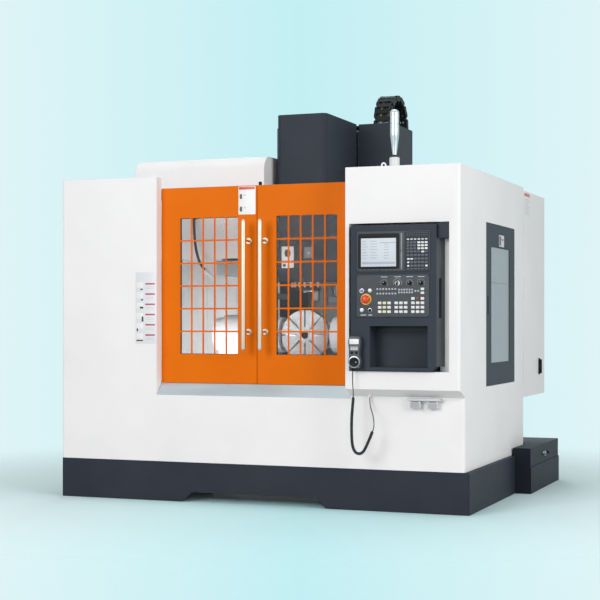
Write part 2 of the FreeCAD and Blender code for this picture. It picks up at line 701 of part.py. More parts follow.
def side_door_pane():
    """The side door's pane in its rebate."""
    x1 = BODY_HALF
    return block(x1 - 9, x1 - 3, SIDE_PANE_FRONT - 5.5, SIDE_PANE_BACK + 5.5,
                 SIDE_PANE_LOW - 5.5, SIDE_PANE_HIGH + 5.5)


# ---- operator box -----------------------------------------------------------------
def operator_box():
    """White sheet box: sloping underside, deep recess, lifting eye and cord gland."""
    profile = [V(BOX_LEFT, BOX_FRONT, BOX_LOW), V(BOX_LEFT, BOX_FRONT, BODY_TOP),
               V(BOX_LEFT, BOX_BACK, BODY_TOP), V(BOX_LEFT, BOX_BACK, BOX_SLOPE_LOW),
               V(BOX_LEFT, 0, BOX_SLOPE_LOW)]
    body = prism(profile, V(BODY_HALF - BOX_LEFT, 0, 0))
    body = rounded(body, CORNER_R, lambda middle, edge: upright(edge)
                   and middle.y < BOX_FRONT + 1 and middle.x > BODY_HALF - 1)
    skin = SHEET
    recess = block(RECESS_LEFT, RECESS_RIGHT, BOX_FRONT - 1, RECESS_BACK, RECESS_LOW,
                   RECESS_HIGH)
    upper = block(BOX_LEFT + skin, BODY_HALF - skin, BOX_FRONT + skin, BOX_BACK - skin,
                  RECESS_HIGH + skin, BODY_TOP - skin)
    upper = rounded(upper, CORNER_R - skin, lambda middle, edge: upright(edge)
                    and middle.y < BOX_FRONT + skin + 1
                    and middle.x > BODY_HALF - skin - 1)
    right = block(RECESS_RIGHT + skin, BODY_HALF - skin, BOX_FRONT + CORNER_R,
                  BOX_BACK - skin, RECESS_LOW, RECESS_HIGH)
    body = body.cut([recess, upper, right])
    eye_foot = faceted(EYE_R + 2, 12, V(EYE_X, LAMP_Y, BODY_TOP - 1), Z_AXIS, 7)
    eye_z = BODY_TOP + 4 + EYE_R
    eye = faceted(EYE_R + EYE_WIRE_R, 12, V(EYE_X, LAMP_Y - EYE_WIRE_R, eye_z), Y_AXIS,
                  2 * EYE_WIRE_R)
    eye = eye.cut(faceted(EYE_R - EYE_WIRE_R, 12, V(EYE_X, LAMP_Y - EYE_WIRE_R - 1, eye_z),
                          Y_AXIS, 2 * EYE_WIRE_R + 2))
    gland = faceted(LEAD_R + 4, 8, V(GLAND_X, GLAND_Y, GLAND_LOW + 24), -Z_AXIS, 24)
    return join(body, eye_foot, eye, gland)


def operator_panel():
    """The dark panel housing: side slot, sloped lower corner, niche, holder hook."""
    outline = [V(PANEL_LEFT, PANEL_FRONT, PANEL_LOW),
               V(PANEL_RIGHT - PANEL_SLOPE, PANEL_FRONT, PANEL_LOW),
               V(PANEL_RIGHT, PANEL_FRONT, PANEL_LOW + PANEL_SLOPE),
               V(PANEL_RIGHT, PANEL_FRONT, PANEL_HIGH),
               V(PANEL_LEFT, PANEL_FRONT, PANEL_HIGH)]
    body = prism(outline, V(0, RECESS_BACK - PANEL_FRONT, 0))
    niche = block(NICHE_LEFT, NICHE_RIGHT, PANEL_FRONT - 1, PANEL_FRONT + NICHE_DEPTH,
                  NICHE_LOW, NICHE_HIGH)
    slot = block(PANEL_RIGHT - SLOT_DEEP, PANEL_RIGHT + 1, PANEL_FRONT + SLOT_FRONT,
                 PANEL_FRONT + SLOT_FRONT + SLOT_WIDE, SLOT_LOW, SLOT_HIGH)
    hollow = block(PANEL_LEFT + 12, PANEL_RIGHT - SLOT_DEEP - 12, PANEL_FRONT + 12,
                   RECESS_BACK - 12, NICHE_HIGH + 14, PANEL_HIGH - 12)
    windows = [block(left + PLATE_LAP, right - PLATE_LAP, PANEL_FRONT - 1, PANEL_FRONT + 13,
                     low + PLATE_LAP, high - PLATE_LAP)
               for left, right, low, high in
               ((DISPLAY_LEFT, DISPLAY_RIGHT, DISPLAY_LOW, DISPLAY_HIGH),
                (CONTROL_LEFT, CONTROL_RIGHT, CONTROL_LOW, CONTROL_HIGH))]
    body = body.cut([niche, slot, hollow] + windows)
    hook_x = PENDANT_X
    hook = block(hook_x - 16, hook_x + 16, PANEL_FRONT - HOOK_GAP, PANEL_FRONT + 1,
                 PENDANT_HIGH - 70, PENDANT_HIGH - 30)
    return join(body, hook)


def control_plate(left, right, low, high):
    """A plate that stands a little out of the housing."""
    return block(left, right, PANEL_FRONT - PLATE_PROUD, PANEL_FRONT, low, high)


def keys(left, top, columns, rows, pitch_x, pitch_z, wide, tall):
    """A block of keys on a control plate, counted down from its top row."""
    front = PANEL_FRONT - PLATE_PROUD
    caps = []
    for column in range(columns):
        for row in range(rows):
            x = left + column * pitch_x
            z = top - row * pitch_z
            caps.append(block(x, x + wide, front - KEY_PROUD, front + 1, z - tall, z))
    return caps


def display_unit():
    """Display bezel beside a keypad, in one frame."""
    plate = control_plate(DISPLAY_LEFT, DISPLAY_RIGHT, DISPLAY_LOW, DISPLAY_HIGH)
    front = PANEL_FRONT - PLATE_PROUD
    bezel = block(SCREEN_LEFT - BEZEL, SCREEN_RIGHT + BEZEL, front - 4, front + 1,
                  SCREEN_LOW - BEZEL, SCREEN_HIGH + BEZEL)
    well = block(SCREEN_LEFT, SCREEN_RIGHT, front - 5, front + 4, SCREEN_LOW, SCREEN_HIGH)
    pad_left = SCREEN_RIGHT + 60
    caps = keys(pad_left, DISPLAY_HIGH - 14, 5, 3, 26, 18, 19, 11)
    caps += keys(pad_left + 52, DISPLAY_HIGH - 72, 3, 3, 26, 18, 19, 13)
    caps += keys(pad_left, DISPLAY_HIGH - 134, 2, 3, 26, 22, 17, 14)
    caps += keys(pad_left + 78, DISPLAY_HIGH - 134, 2, 3, 26, 22, 17, 14)
    plate = plate.fuse(bezel).cut(well)
    return join(plate, *caps)


def display_screen():
    """The display glass, sunk in its bezel."""
    front = PANEL_FRONT - PLATE_PROUD
    return block(SCREEN_LEFT, SCREEN_RIGHT, front + 0.5, front + 4, SCREEN_LOW, SCREEN_HIGH)


def machine_panel():
    """Control plate with its fixed keys, push buttons and the stop button's collar."""
    plate = control_plate(CONTROL_LEFT, CONTROL_RIGHT, CONTROL_LOW, CONTROL_HIGH)
    front = PANEL_FRONT - PLATE_PROUD
    caps = []
    for left in KEY_BLOCKS:
        caps += keys(left, KEY_BLOCK_TOP, 3, 3, KEY_PITCH_X, KEY_PITCH_Z, KEY_WIDE, KEY_TALL)
    caps += keys(KEY_BLOCKS[2], KEY_BLOCK_TOP + KEY_PITCH_Z, 3, 1, KEY_PITCH_X, KEY_PITCH_Z,
                 KEY_WIDE, KEY_TALL)
    caps += keys(KEY_BLOCKS[2] + 2 * KEY_PITCH_X, KEY_BLOCK_TOP + 3 * KEY_PITCH_Z, 1, 2,
                 KEY_PITCH_X, KEY_PITCH_Z, KEY_WIDE, KEY_TALL)
    buttons = [faceted(BUTTON_R, 12, V(x, front + 1, z), -Y_AXIS, BUTTON_PROUD + 1)
               for x, z in ((START_X, KEY_SWITCH_Z), (KEY_SWITCH_X, LOWER_BUTTON_Z),
                            (START_X, LOWER_BUTTON_Z))]
    collar = faceted(E_STOP_RING_R, 24, V(E_STOP_X, front + 1, E_STOP_Z), -Y_AXIS, 4)
    plate = join(plate, collar, *caps, *buttons)
    holes = [bore(STEM_R + STEM_GAP, 8, V(x, front - 5, z), Y_AXIS, 20) for x, z in
             [(x, SELECTOR_Z) for x in SELECTOR_X] + [(KEY_SWITCH_X, KEY_SWITCH_Z)]]
    holes.append(bore(E_STOP_STEM_R + STEM_GAP, 12, V(E_STOP_X, front - 6, E_STOP_Z),
                      Y_AXIS, 20))
    return plate.cut(holes)


def selector(index):
    """A selector knob: a round skirt, a raised bar grip and a stem."""
    x, radius = SELECTOR_X[index], SELECTOR_R[index]
    face = PANEL_FRONT - PLATE_PROUD - 0.6
    skirt = faceted(radius, 16, V(x, face, SELECTOR_Z), -Y_AXIS, SELECTOR_PROUD * 0.5)
    grip = block(x - radius * 0.35, x + radius * 0.35, face - SELECTOR_PROUD,
                 face - SELECTOR_PROUD * 0.4, SELECTOR_Z - radius * 0.92,
                 SELECTOR_Z + radius * 0.92)
    stem = faceted(STEM_R, 10, V(x, face - 1, SELECTOR_Z), Y_AXIS, STEM_LONG)
    return join(skirt, grip, stem)


def key_switch():
    """A key in its turning barrel."""
    face = PANEL_FRONT - PLATE_PROUD - 0.6
    barrel = faceted(10, 16, V(KEY_SWITCH_X, face, KEY_SWITCH_Z), -Y_AXIS, 7)
    blade = block(KEY_SWITCH_X - 1.2, KEY_SWITCH_X + 1.2, face - 26, face - 6,
                  KEY_SWITCH_Z - 7, KEY_SWITCH_Z + 7)
    stem = faceted(STEM_R, 10, V(KEY_SWITCH_X, face - 1, KEY_SWITCH_Z), Y_AXIS, STEM_LONG)
    return join(barrel, blade, stem)


def e_stop_button():
    """A mushroom button on a stem: a rim, then two tapers towards its crown."""
    face = PANEL_FRONT - PLATE_PROUD - 3 - E_STOP_TRAVEL - 1
    centre = V(E_STOP_X, face, E_STOP_Z)
    sides = 18
    stem = faceted(E_STOP_STEM_R, 12, V(E_STOP_X, face - 2, E_STOP_Z), Y_AXIS, 24)
    rim = faceted(E_STOP_R, sides, centre, -Y_AXIS, 9)
    shoulder = tapered(E_STOP_R, E_STOP_R * 0.8, sides, centre - Y_AXIS * 9, -Y_AXIS, 6)
    crown = tapered(E_STOP_R * 0.8, E_STOP_R * 0.4, sides, centre - Y_AXIS * 15, -Y_AXIS, 4)
    return join(rim, shoulder, crown, stem)


# ---- pendant, cord, fittings ------------------------------------------------------
def pendant_front():
    """Front face of the hanging pendant."""
    return PANEL_FRONT - HOOK_GAP - PENDANT_THICK


def mpg_pendant():
    """The hand-wheel pendant: a waisted moulded case with a keypad rise and a spout."""
    back = PANEL_FRONT - HOOK_GAP
    half, waist = PENDANT_WIDE / 2, PENDANT_WAIST / 2
    outline = [V(PENDANT_X - waist + 8, back, PENDANT_LOW), V(PENDANT_X - half, back, WHEEL_Z),
               V(PENDANT_X - waist, back, WHEEL_Z + 45),
               V(PENDANT_X - half, back, PENDANT_HIGH - 34),
               V(PENDANT_X - half + 10, back, PENDANT_HIGH),
               V(PENDANT_X + half - 10, back, PENDANT_HIGH),
               V(PENDANT_X + half, back, PENDANT_HIGH - 34),
               V(PENDANT_X + waist, back, WHEEL_Z + 45), V(PENDANT_X + half, back, WHEEL_Z),
               V(PENDANT_X + waist - 8, back, PENDANT_LOW)]
    case = prism(outline, V(0, -PENDANT_THICK, 0))
    front = pendant_front()
    case = case.makeChamfer(4, [edge for edge in case.Edges
                                if abs(edge.CenterOfMass.y - front) < 0.01])
    pad = block(PENDANT_X - 26, PENDANT_X + 26, front - 2, front + 1,
                WHEEL_Z + 36, PENDANT_HIGH - 56)
    label = block(PENDANT_X - 28, PENDANT_X + 28, front - 2, front + 1,
                  PENDANT_HIGH - 46, PENDANT_HIGH - 16)
    dials = [faceted(7, 10, V(PENDANT_X + shift, front + 1, WHEEL_Z + 54), -Y_AXIS, 12)
             for shift in (-14, 14)]
    hub = bore(STEM_R + STEM_GAP, 10, V(PENDANT_X, front - 5, WHEEL_Z), Y_AXIS, 22)
    spout = faceted(LEAD_R + 3, 8, V(SPOUT_X, CORD_Y, PENDANT_LOW + 2), -Z_AXIS, 16)
    return join(case, pad, label, *dials, spout).cut(hub)


def mpg_wheel():
    """The hand wheel with its finger hole and stem."""
    front = pendant_front() - 0.6
    wheel = faceted(WHEEL_R, 28, V(PENDANT_X, front, WHEEL_Z), -Y_AXIS, WHEEL_THICK)
    dimple = faceted(6, 10, V(PENDANT_X + WHEEL_R - 9, front - WHEEL_THICK + 4, WHEEL_Z),
                     -Y_AXIS, 10)
    stem = faceted(STEM_R, 10, V(PENDANT_X, front - 1, WHEEL_Z), Y_AXIS, 16)
    return join(wheel, stem).cut(dimple)


SPOUT_X = PENDANT_X - 18  # where the cord leaves the pendant
COIL_ROUTE = (
    V(SPOUT_X + 4, CORD_Y, 659), V(SPOUT_X - 6, CORD_Y, 560), V(SPOUT_X - 7, CORD_Y, 455),
    V(SPOUT_X - 2, CORD_Y + 1, 385), V(SPOUT_X + 18, CORD_Y + 3, 345),
    V(SPOUT_X + 56, CORD_Y + 8, 345), V(SPOUT_X + 81, CORD_Y + 13, 392),
    V(SPOUT_X + 113, CORD_Y + 20, 471),
)


def mpg_coil():
    """The outer shape of the curly cord, hanging in a loop."""
    coil, radii = tube(list(COIL_ROUTE), COIL_R)
    print("curly cord radii", [round(r) for r in radii])
    return coil


def mpg_lead_upper():
    """The lead from the pendant's spout down to the coil."""
    x = SPOUT_X
    points = [V(x, CORD_Y, PENDANT_LOW - 14), V(x - 1, CORD_Y, 784), V(x, CORD_Y, 744),
              V(x + 4, CORD_Y, 700), COIL_ROUTE[0]]
    lead, radii = tube(points, LEAD_R)
    print("upper lead radii", [round(r) for r in radii])
    return lead


def mpg_lead_lower():
    """The lead from the coil up to the gland under the box."""
    x = GLAND_X
    points = [COIL_ROUTE[-1], V(x + 57, CORD_Y + 24, 497), V(x + 56, CORD_Y + 30, 532),
              V(x + 43, CORD_Y + 46, 570), V(x + 20, CORD_Y + 80, 602),
              V(x, GLAND_Y, GLAND_LOW - 28), V(x, GLAND_Y, GLAND_LOW)]
    lead, radii = tube(points, LEAD_R)
    print("lower lead radii", [round(r) for r in radii])
    return lead


def socket_plate():
    """The light plate under the box with its two lidded sockets."""
    z = SOCKET_TOP
    plate = block(SOCKET_X[0] - 50, SOCKET_X[1] + 50, -40, 0, z - SOCKET_PLATE, z)
    lids = [block(x - SOCKET_WIDE / 2, x + SOCKET_WIDE / 2, -34, 0,
                  z - SOCKET_PLATE - SOCKET_HIGH, z - SOCKET_PLATE) for x in SOCKET_X]
    return join(plate, *lids)


def signal_lamp():
    """The lamp: a cup, a thin neck, a long taper and a round top."""
    sides = 24
    centre = V(LAMP_X, LAMP_Y, BODY_TOP)
    cup = faceted(LAMP_CUP_R, sides, centre, Z_AXIS, LAMP_CUP_HIGH)
    neck = faceted(LAMP_NECK_R, sides, centre, Z_AXIS, LAMP_TAPER_FROM)
    taper = tapered(LAMP_NECK_R, LAMP_R, sides, centre + Z_AXIS * LAMP_TAPER_FROM, Z_AXIS,
                    LAMP_TAPER_TO - LAMP_TAPER_FROM)
    top = faceted(LAMP_R, sides, centre + Z_AXIS * LAMP_TAPER_TO, Z_AXIS,
                  LAMP_HIGH - LAMP_TAPER_TO)
    return join(cup, neck, taper, top)


# ---- right side and rear ----------------------------------------------------------
def electrical_cabinet():
    """The cabinet's open shell with its mounting plate and drive units."""
    left = BODY_HALF - CABINET_DEEP
    right = BODY_HALF - CABINET_DOOR_THICK - 3
    front = BODY_DEPTH
    shell = block(left, right, front, CABINET_BACK, CABINET_LOW, CABINET_HIGH)
    hollow = block(left + 4, right + 1, front + 4, CABINET_BACK - 4, CABINET_LOW + 4,
                   CABINET_HIGH - 4)
    shell = shell.cut(hollow)
    plate = block(left + 3, left + 20, front + 40, CABINET_BACK - 40, CABINET_LOW + 50,
                  CABINET_HIGH - 50)
    units = []
    for index in range(4):
        y = front + 70 + index * 120
        units.append(block(left + 19, left + 200, y, y + 100, CABINET_HIGH - 530,
                           CABINET_HIGH - 130))
    rail = block(left + 19, left + 80, front + 70, CABINET_BACK - 70, CABINET_LOW + 600,
                 CABINET_LOW + 720)
    transformer = block(left + 19, left + 180, front + 150, CABINET_BACK - 150,
                        CABINET_LOW + 120, CABINET_LOW + 340)
    return join(shell, plate, *units, rail, transformer)


def cabinet_door():
    """The cabinet's folded door with the latch's hole."""
    x0, x1 = BODY_HALF - CABINET_DOOR_THICK, BODY_HALF
    front, back = BODY_DEPTH + 4, CABINET_BACK
    pan = block(x0, x1, front, back, CABINET_LOW, CABINET_HIGH)
    hollow = block(x0 - 1, x1 - SHEET, front + SHEET, back - SHEET, CABINET_LOW + SHEET,
                   CABINET_HIGH - SHEET)
    middle = (LATCH_LOW + LATCH_HIGH) / 2
    hole = bore(LATCH_STEM_R + STEM_GAP, 12, V(x0 - 2, LATCH_Y, middle), X_AXIS,
                CABINET_DOOR_THICK + 4)
    return pan.cut([hollow, hole])


def cabinet_latch():
    """The lever latch: a stem through the door, a plate and a swinging grip."""
    middle = (LATCH_LOW + LATCH_HIGH) / 2
    x = BODY_HALF
    stem = faceted(LATCH_STEM_R, 12, V(x - CABINET_DOOR_THICK + 4, LATCH_Y, middle), X_AXIS,
                   CABINET_DOOR_THICK + 8)
    plate = block(x + 0.6, x + 8, LATCH_Y - 16, LATCH_Y + 16, LATCH_LOW, LATCH_HIGH)
    grip = block(x + 7, x + 22, LATCH_Y - 9, LATCH_Y + 9, LATCH_LOW + 8, LATCH_HIGH - 8)
    return join(stem, plate, grip)


def coolant_tank():
    """The pull-out coolant tank: a wider lower tray, an upper box, a pump and a tap."""
    lower = block(TANK_LEFT, TANK_RIGHT + TANK_PROUD, TANK_FRONT - TANK_PROUD,
                  TANK_BACK + TANK_PROUD, 0, TANK_SEAM)
    hollow = block(TANK_LEFT + 4, TANK_RIGHT + TANK_PROUD - 4, TANK_FRONT - TANK_PROUD + 4,
                   TANK_BACK + TANK_PROUD - 4, 4, TANK_SEAM - 8)
    lower = lower.cut(hollow)
    upper = block(BODY_HALF + 10, TANK_RIGHT, TANK_FRONT, TANK_BACK, TANK_SEAM, TANK_TOP)
    behind = block(TANK_LEFT, TANK_RIGHT, BODY_DEPTH + 10, TANK_BACK, TANK_SEAM, TANK_TOP)
    upper = join(upper, behind)
    pump_x, pump_y = TANK_LEFT + 480, TANK_BACK - 160
    pump = faceted(70, 20, V(pump_x, pump_y, TANK_TOP - 1), Z_AXIS, 200)
    motor = faceted(62, 12, V(pump_x, pump_y, TANK_TOP + 198), Z_AXIS, 90)
    tap = faceted(9, 8, V(TANK_RIGHT - 1, TANK_FRONT + 520, 225), X_AXIS, 16)
    return join(lower, upper, pump, motor, tap)


# ---- machine structure ------------------------------------------------------------
def bed():
    """Cast bed: guideway seats, screw bearings, the column's foot, cored side pockets."""
    side = [V(-BED_HALF, BED_FRONT, 0), V(-BED_HALF, BED_BACK, 0),
            V(-BED_HALF, BED_BACK, COLUMN_FOOT_TOP),
            V(-BED_HALF, COLUMN_FRONT - 12, COLUMN_FOOT_TOP),
            V(-BED_HALF, COLUMN_FRONT - 12, BED_TOP), V(-BED_HALF, BED_FRONT, BED_TOP)]
    body = prism(side, V(2 * BED_HALF, 0, 0))
    trough = block(-Y_RAIL_X + 60, Y_RAIL_X - 60, BED_FRONT - 1, Y_RAIL_BACK,
                   BED_TOP - TROUGH_DEEP, BED_TOP + 1)
    pockets = []
    for index in range(4):
        y = BED_FRONT + 80 + index * 300
        for side_x in (-BED_HALF - 1, BED_HALF - 69):
            pockets.append(block(side_x, side_x + 70, y, y + 230, 110, BED_TOP - 90))
    anchors = []
    for x in (-ANCHOR_X, ANCHOR_X):
        for y in (BED_MIDDLE - ANCHOR_Y / 2, BED_MIDDLE + ANCHOR_Y / 2):
            anchors.append(rod(ANCHOR_R, V(x, y, -1), Z_AXIS, 62))
    body = body.cut([trough] + pockets + anchors)
    low, high = BED_TOP - TROUGH_DEEP - 1, SADDLE_LOW - 3
    bearings = [block(-45, 45, y, y + BEARING_LONG, low, high)
                for y in (Y_SCREW_FRONT, Y_SCREW_BACK - BEARING_LONG)]
    screw_bore = bore(SCREW_R + SCREW_GAP, 20, V(0, Y_SCREW_FRONT - 1, Y_SCREW_Z), Y_AXIS,
                      Y_SCREW_BACK - Y_SCREW_FRONT + 2)
    return join(body, *bearings).cut(screw_bore)


def column():
    """Cast column: hollow, with screw bearings and the shelf for the chain's fixed end."""
    base = COLUMN_FOOT_TOP
    side = [V(-COLUMN_HALF, COLUMN_FRONT, base), V(-COLUMN_HALF, BED_BACK - 60, base),
            V(-COLUMN_HALF, COLUMN_BACK - 30, COLUMN_TOP),
            V(-COLUMN_HALF, COLUMN_FRONT, COLUMN_TOP)]
    body = prism(side, V(2 * COLUMN_HALF, 0, 0))
    core = block(-COLUMN_HALF + 50, COLUMN_HALF - 50, COLUMN_FRONT + 60, COLUMN_BACK - 90,
                 base + 80, COLUMN_TOP + 1)
    trough = block(-Z_RAIL_X + 50, Z_RAIL_X - 50, COLUMN_FRONT - 1, COLUMN_FRONT + 40,
                   base + 200, COLUMN_TOP + 1)
    windows = [block(-COLUMN_HALF - 1, COLUMN_HALF + 1, COLUMN_FRONT + 110, COLUMN_BACK - 130,
                     z, z + 260) for z in (760, 1200, 1640)]
    body = body.cut([core, trough] + windows)
    back = COLUMN_FRONT + 41
    bearings = [block(-45, 45, COLUMN_FRONT - 42, back, z, z + BEARING_LONG)
                for z in (Z_SCREW_LOW, Z_SCREW_HIGH - BEARING_LONG)]
    screw_bore = bore(SCREW_R + SCREW_GAP, 20, V(0, Z_SCREW_Y, Z_SCREW_LOW - 1), Z_AXIS,
                      Z_SCREW_HIGH - Z_SCREW_LOW + 2)
    body = join(body, *bearings).cut(screw_bore)
    y = CHAIN_Y + CHAIN_R
    inner_left, inner_right = CHAIN_LEFT + LINK_SIDE, CHAIN_RIGHT - LINK_SIDE
    shelf = block(COLUMN_HALF - 1, inner_right, y - 40, y + 10,
                  chain_foot() - CHAIN_HALF_HIGH - 14, chain_foot() - CHAIN_HALF_HIGH - 2)
    tongue = block(inner_left, inner_right, y - 10, y + 10,
                   chain_foot() - CHAIN_HALF_HIGH - 3, chain_foot() + 10)
    return join(body, shelf, tongue)


def linear_guides():
    """Hardened guideways: two along Y on the bed, two up the column."""
    rails = []
    for x in (-Y_RAIL_X, Y_RAIL_X):
        rails.append(block(x - RAIL / 2, x + RAIL / 2, BED_FRONT + 30, Y_RAIL_BACK,
                           BED_TOP, BED_TOP + RAIL_HIGH))
    for x in (-Z_RAIL_X, Z_RAIL_X):
        rails.append(block(x - RAIL / 2, x + RAIL / 2, COLUMN_FRONT - RAIL_HIGH,
                           COLUMN_FRONT, 1250, COLUMN_TOP - 10))
    return Part.makeCompound(rails)


def ball_screw(start, axis, length):
    """A ball screw as a many-sided bar of its thread's outer size."""
    return faceted(SCREW_R, 20, start, axis, length)


def y_screw():
    """The screw under the saddle."""
    return ball_screw(V(0, Y_SCREW_FRONT + 4, Y_SCREW_Z), Y_AXIS,
                      Y_SCREW_BACK - Y_SCREW_FRONT - 8)


def x_screw():
    """The screw under the table."""
    return ball_screw(V(-X_SCREW_HALF + 4, SPINDLE_Y, X_SCREW_Z), X_AXIS,
                      2 * X_SCREW_HALF - 8)


def z_screw():
    """The screw behind the head."""
    return ball_screw(V(0, Z_SCREW_Y, Z_SCREW_LOW + 4), Z_AXIS,
                      Z_SCREW_HIGH - Z_SCREW_LOW - 8)


def column_cover():
    """Dark sheet cover round the column: front flanges, sides, back and a cut-out top."""
    low, top, sheet = COVER_LOW, COVER_TOP, SHEET
    outer = block(COVER_LEFT, COVER_RIGHT, COVER_FRONT, COVER_BACK, low, top)
    inner = block(COVER_LEFT + sheet, COVER_RIGHT - sheet, COVER_FRONT + sheet,
                  COVER_BACK - sheet, low - 1, top - sheet)
    shell = outer.cut(inner)
    gap = block(-COVER_SLOT_HALF, COVER_SLOT_HALF, COVER_FRONT - 1, COVER_FRONT + sheet + 1,
                low - 1, top + 1)
    roof_gap = block(-COVER_SLOT_HALF, COVER_SLOT_HALF, COVER_FRONT - 1, COLUMN_FRONT,
                     top - sheet - 1, top + 1)
    chain_gap = block(COVER_SLOT_HALF - 1, CHAIN_RIGHT + 8, COVER_FRONT + sheet + 1,
                      CHAIN_Y + CHAIN_R + CHAIN_HALF_HIGH + 8, top - sheet - 1, top + 1)
    return shell.cut([gap, roof_gap, chain_gap])


def head_cover():
    """Dark sheet cover round the head, its front corners rounded, open below and behind."""
    outer = block(-HEAD_HALF, HEAD_HALF, HEAD_FRONT, HEAD_BACK, HEAD_LOW, HEAD_TOP)
    inner = block(-HEAD_HALF + SHEET, HEAD_HALF - SHEET, HEAD_FRONT + SHEET, HEAD_BACK + 1,
                  HEAD_LOW - 1, HEAD_TOP - SHEET)
    outer = rounded(outer, HEAD_CORNER_R, lambda middle, edge: upright(edge)
                    and middle.y < HEAD_FRONT + 1)
    inner = rounded(inner, HEAD_CORNER_R - SHEET, lambda middle, edge: upright(edge)
                    and middle.y < HEAD_FRONT + SHEET + 1)
    return outer.cut(inner)


def spindle_head():
    """Head casting: nose with its nozzles, box body, carriage on the guideways, motor."""
    low = HEAD_LOW + 12
    body = block(-130, 130, HEAD_FRONT + 50, HEAD_BACK, low, HEAD_BODY_TOP)
    body = rounded(body, 40, lambda middle, edge: upright(edge) and middle.y < HEAD_FRONT + 60)
    nose = faceted(NOSE_R, 28, V(0, SPINDLE_Y, NOSE_LOW), Z_AXIS, low - NOSE_LOW + 5)
    motor = faceted(MOTOR_R, 8, V(0, SPINDLE_Y, HEAD_BODY_TOP - 1), Z_AXIS,
                    HEAD_TOP - HEAD_BODY_TOP - 243)
    inside = HEAD_HALF - SHEET
    carriage = block(-inside, inside, HEAD_BACK - 20, COLUMN_FRONT - RAIL_HIGH - 10,
                     CARRIAGE_LOW, CARRIAGE_HIGH)
    blocks = []
    for x in (-Z_RAIL_X, Z_RAIL_X):
        for z in (CARRIAGE_LOW + 10, CARRIAGE_HIGH - 130):
            outer = block(x - 42, x + 42, COLUMN_FRONT - RAIL_HIGH - 12, COLUMN_FRONT - 8,
                          z, z + 120)
            groove = block(x - RAIL / 2 - BLOCK_GAP, x + RAIL / 2 + BLOCK_GAP,
                           COLUMN_FRONT - RAIL_HIGH - BLOCK_GAP, COLUMN_FRONT, z - 1, z + 121)
            blocks.append(outer.cut(groove))
    nut = block(-45, 45, COLUMN_FRONT - 60, COLUMN_FRONT + 30, CARRIAGE_LOW + 190,
                CARRIAGE_LOW + 290)
    arm = block(160, CHAIN_RIGHT - 10, COVER_FRONT + 12, COVER_FRONT + 24,
                CARRIAGE_HIGH - 140, CARRIAGE_HIGH - 90)
    top = chain_foot() - CHAIN_HALF_HIGH - BODY_GAP
    riser = block(CHAIN_LEFT + 10, CHAIN_RIGHT - 10, COVER_FRONT + 12, COVER_FRONT + 24,
                  CARRIAGE_HIGH - 140, top)
    seat = block(CHAIN_LEFT + 10, CHAIN_RIGHT - 10, COVER_FRONT + 12, COVER_FRONT + 46,
                 top - 12, top)
    jets = []
    for angle in (205, 245, 295, 335):
        turn = math.radians(angle)
        jets.append(faceted(8, 8, V((NOSE_R + 14) * math.cos(turn),
                             SPINDLE_Y + (NOSE_R + 14) * math.sin(turn), NOSE_LOW + 8),
                        Z_AXIS, 50))
    ring = faceted(NOSE_R + 24, 24, V(0, SPINDLE_Y, NOSE_LOW + 40), Z_AXIS, 26)
    head = join(body, nose, motor, carriage, *blocks, nut, arm, riser, seat, ring, *jets)
    spindle_bore = bore(SPINDLE_R + SPINDLE_GAP, 28, V(0, SPINDLE_Y, NOSE_LOW - 1), Z_AXIS,
                        260)
    screw_bore = bore(SCREW_R + SCREW_GAP, 20, V(0, Z_SCREW_Y, CARRIAGE_LOW + 50), Z_AXIS,
                      400)
    return head.cut([spindle_bore, screw_bore])


def spindle():
    """The spindle: a shaft with its open taper and two drive keys."""
    shaft = faceted(SPINDLE_R, 28, V(0, SPINDLE_Y, SPINDLE_LOW), Z_AXIS, 240)
    taper = tapered(TAPER_R, TAPER_R - TAPER_DEEP * 7 / 48, 16, V(0, SPINDLE_Y, SPINDLE_LOW),
                    Z_AXIS, TAPER_DEEP)
    draw = faceted(9, 12, V(0, SPINDLE_Y, SPINDLE_LOW + 1), Z_AXIS, 120)
    lugs = [block(side * 34 - 7, side * 34 + 7, SPINDLE_Y - 8, SPINDLE_Y + 8,
                  SPINDLE_LOW - 6, SPINDLE_LOW + 2) for side in (-1, 1)]
    return join(shaft, *lugs).cut([taper, draw])


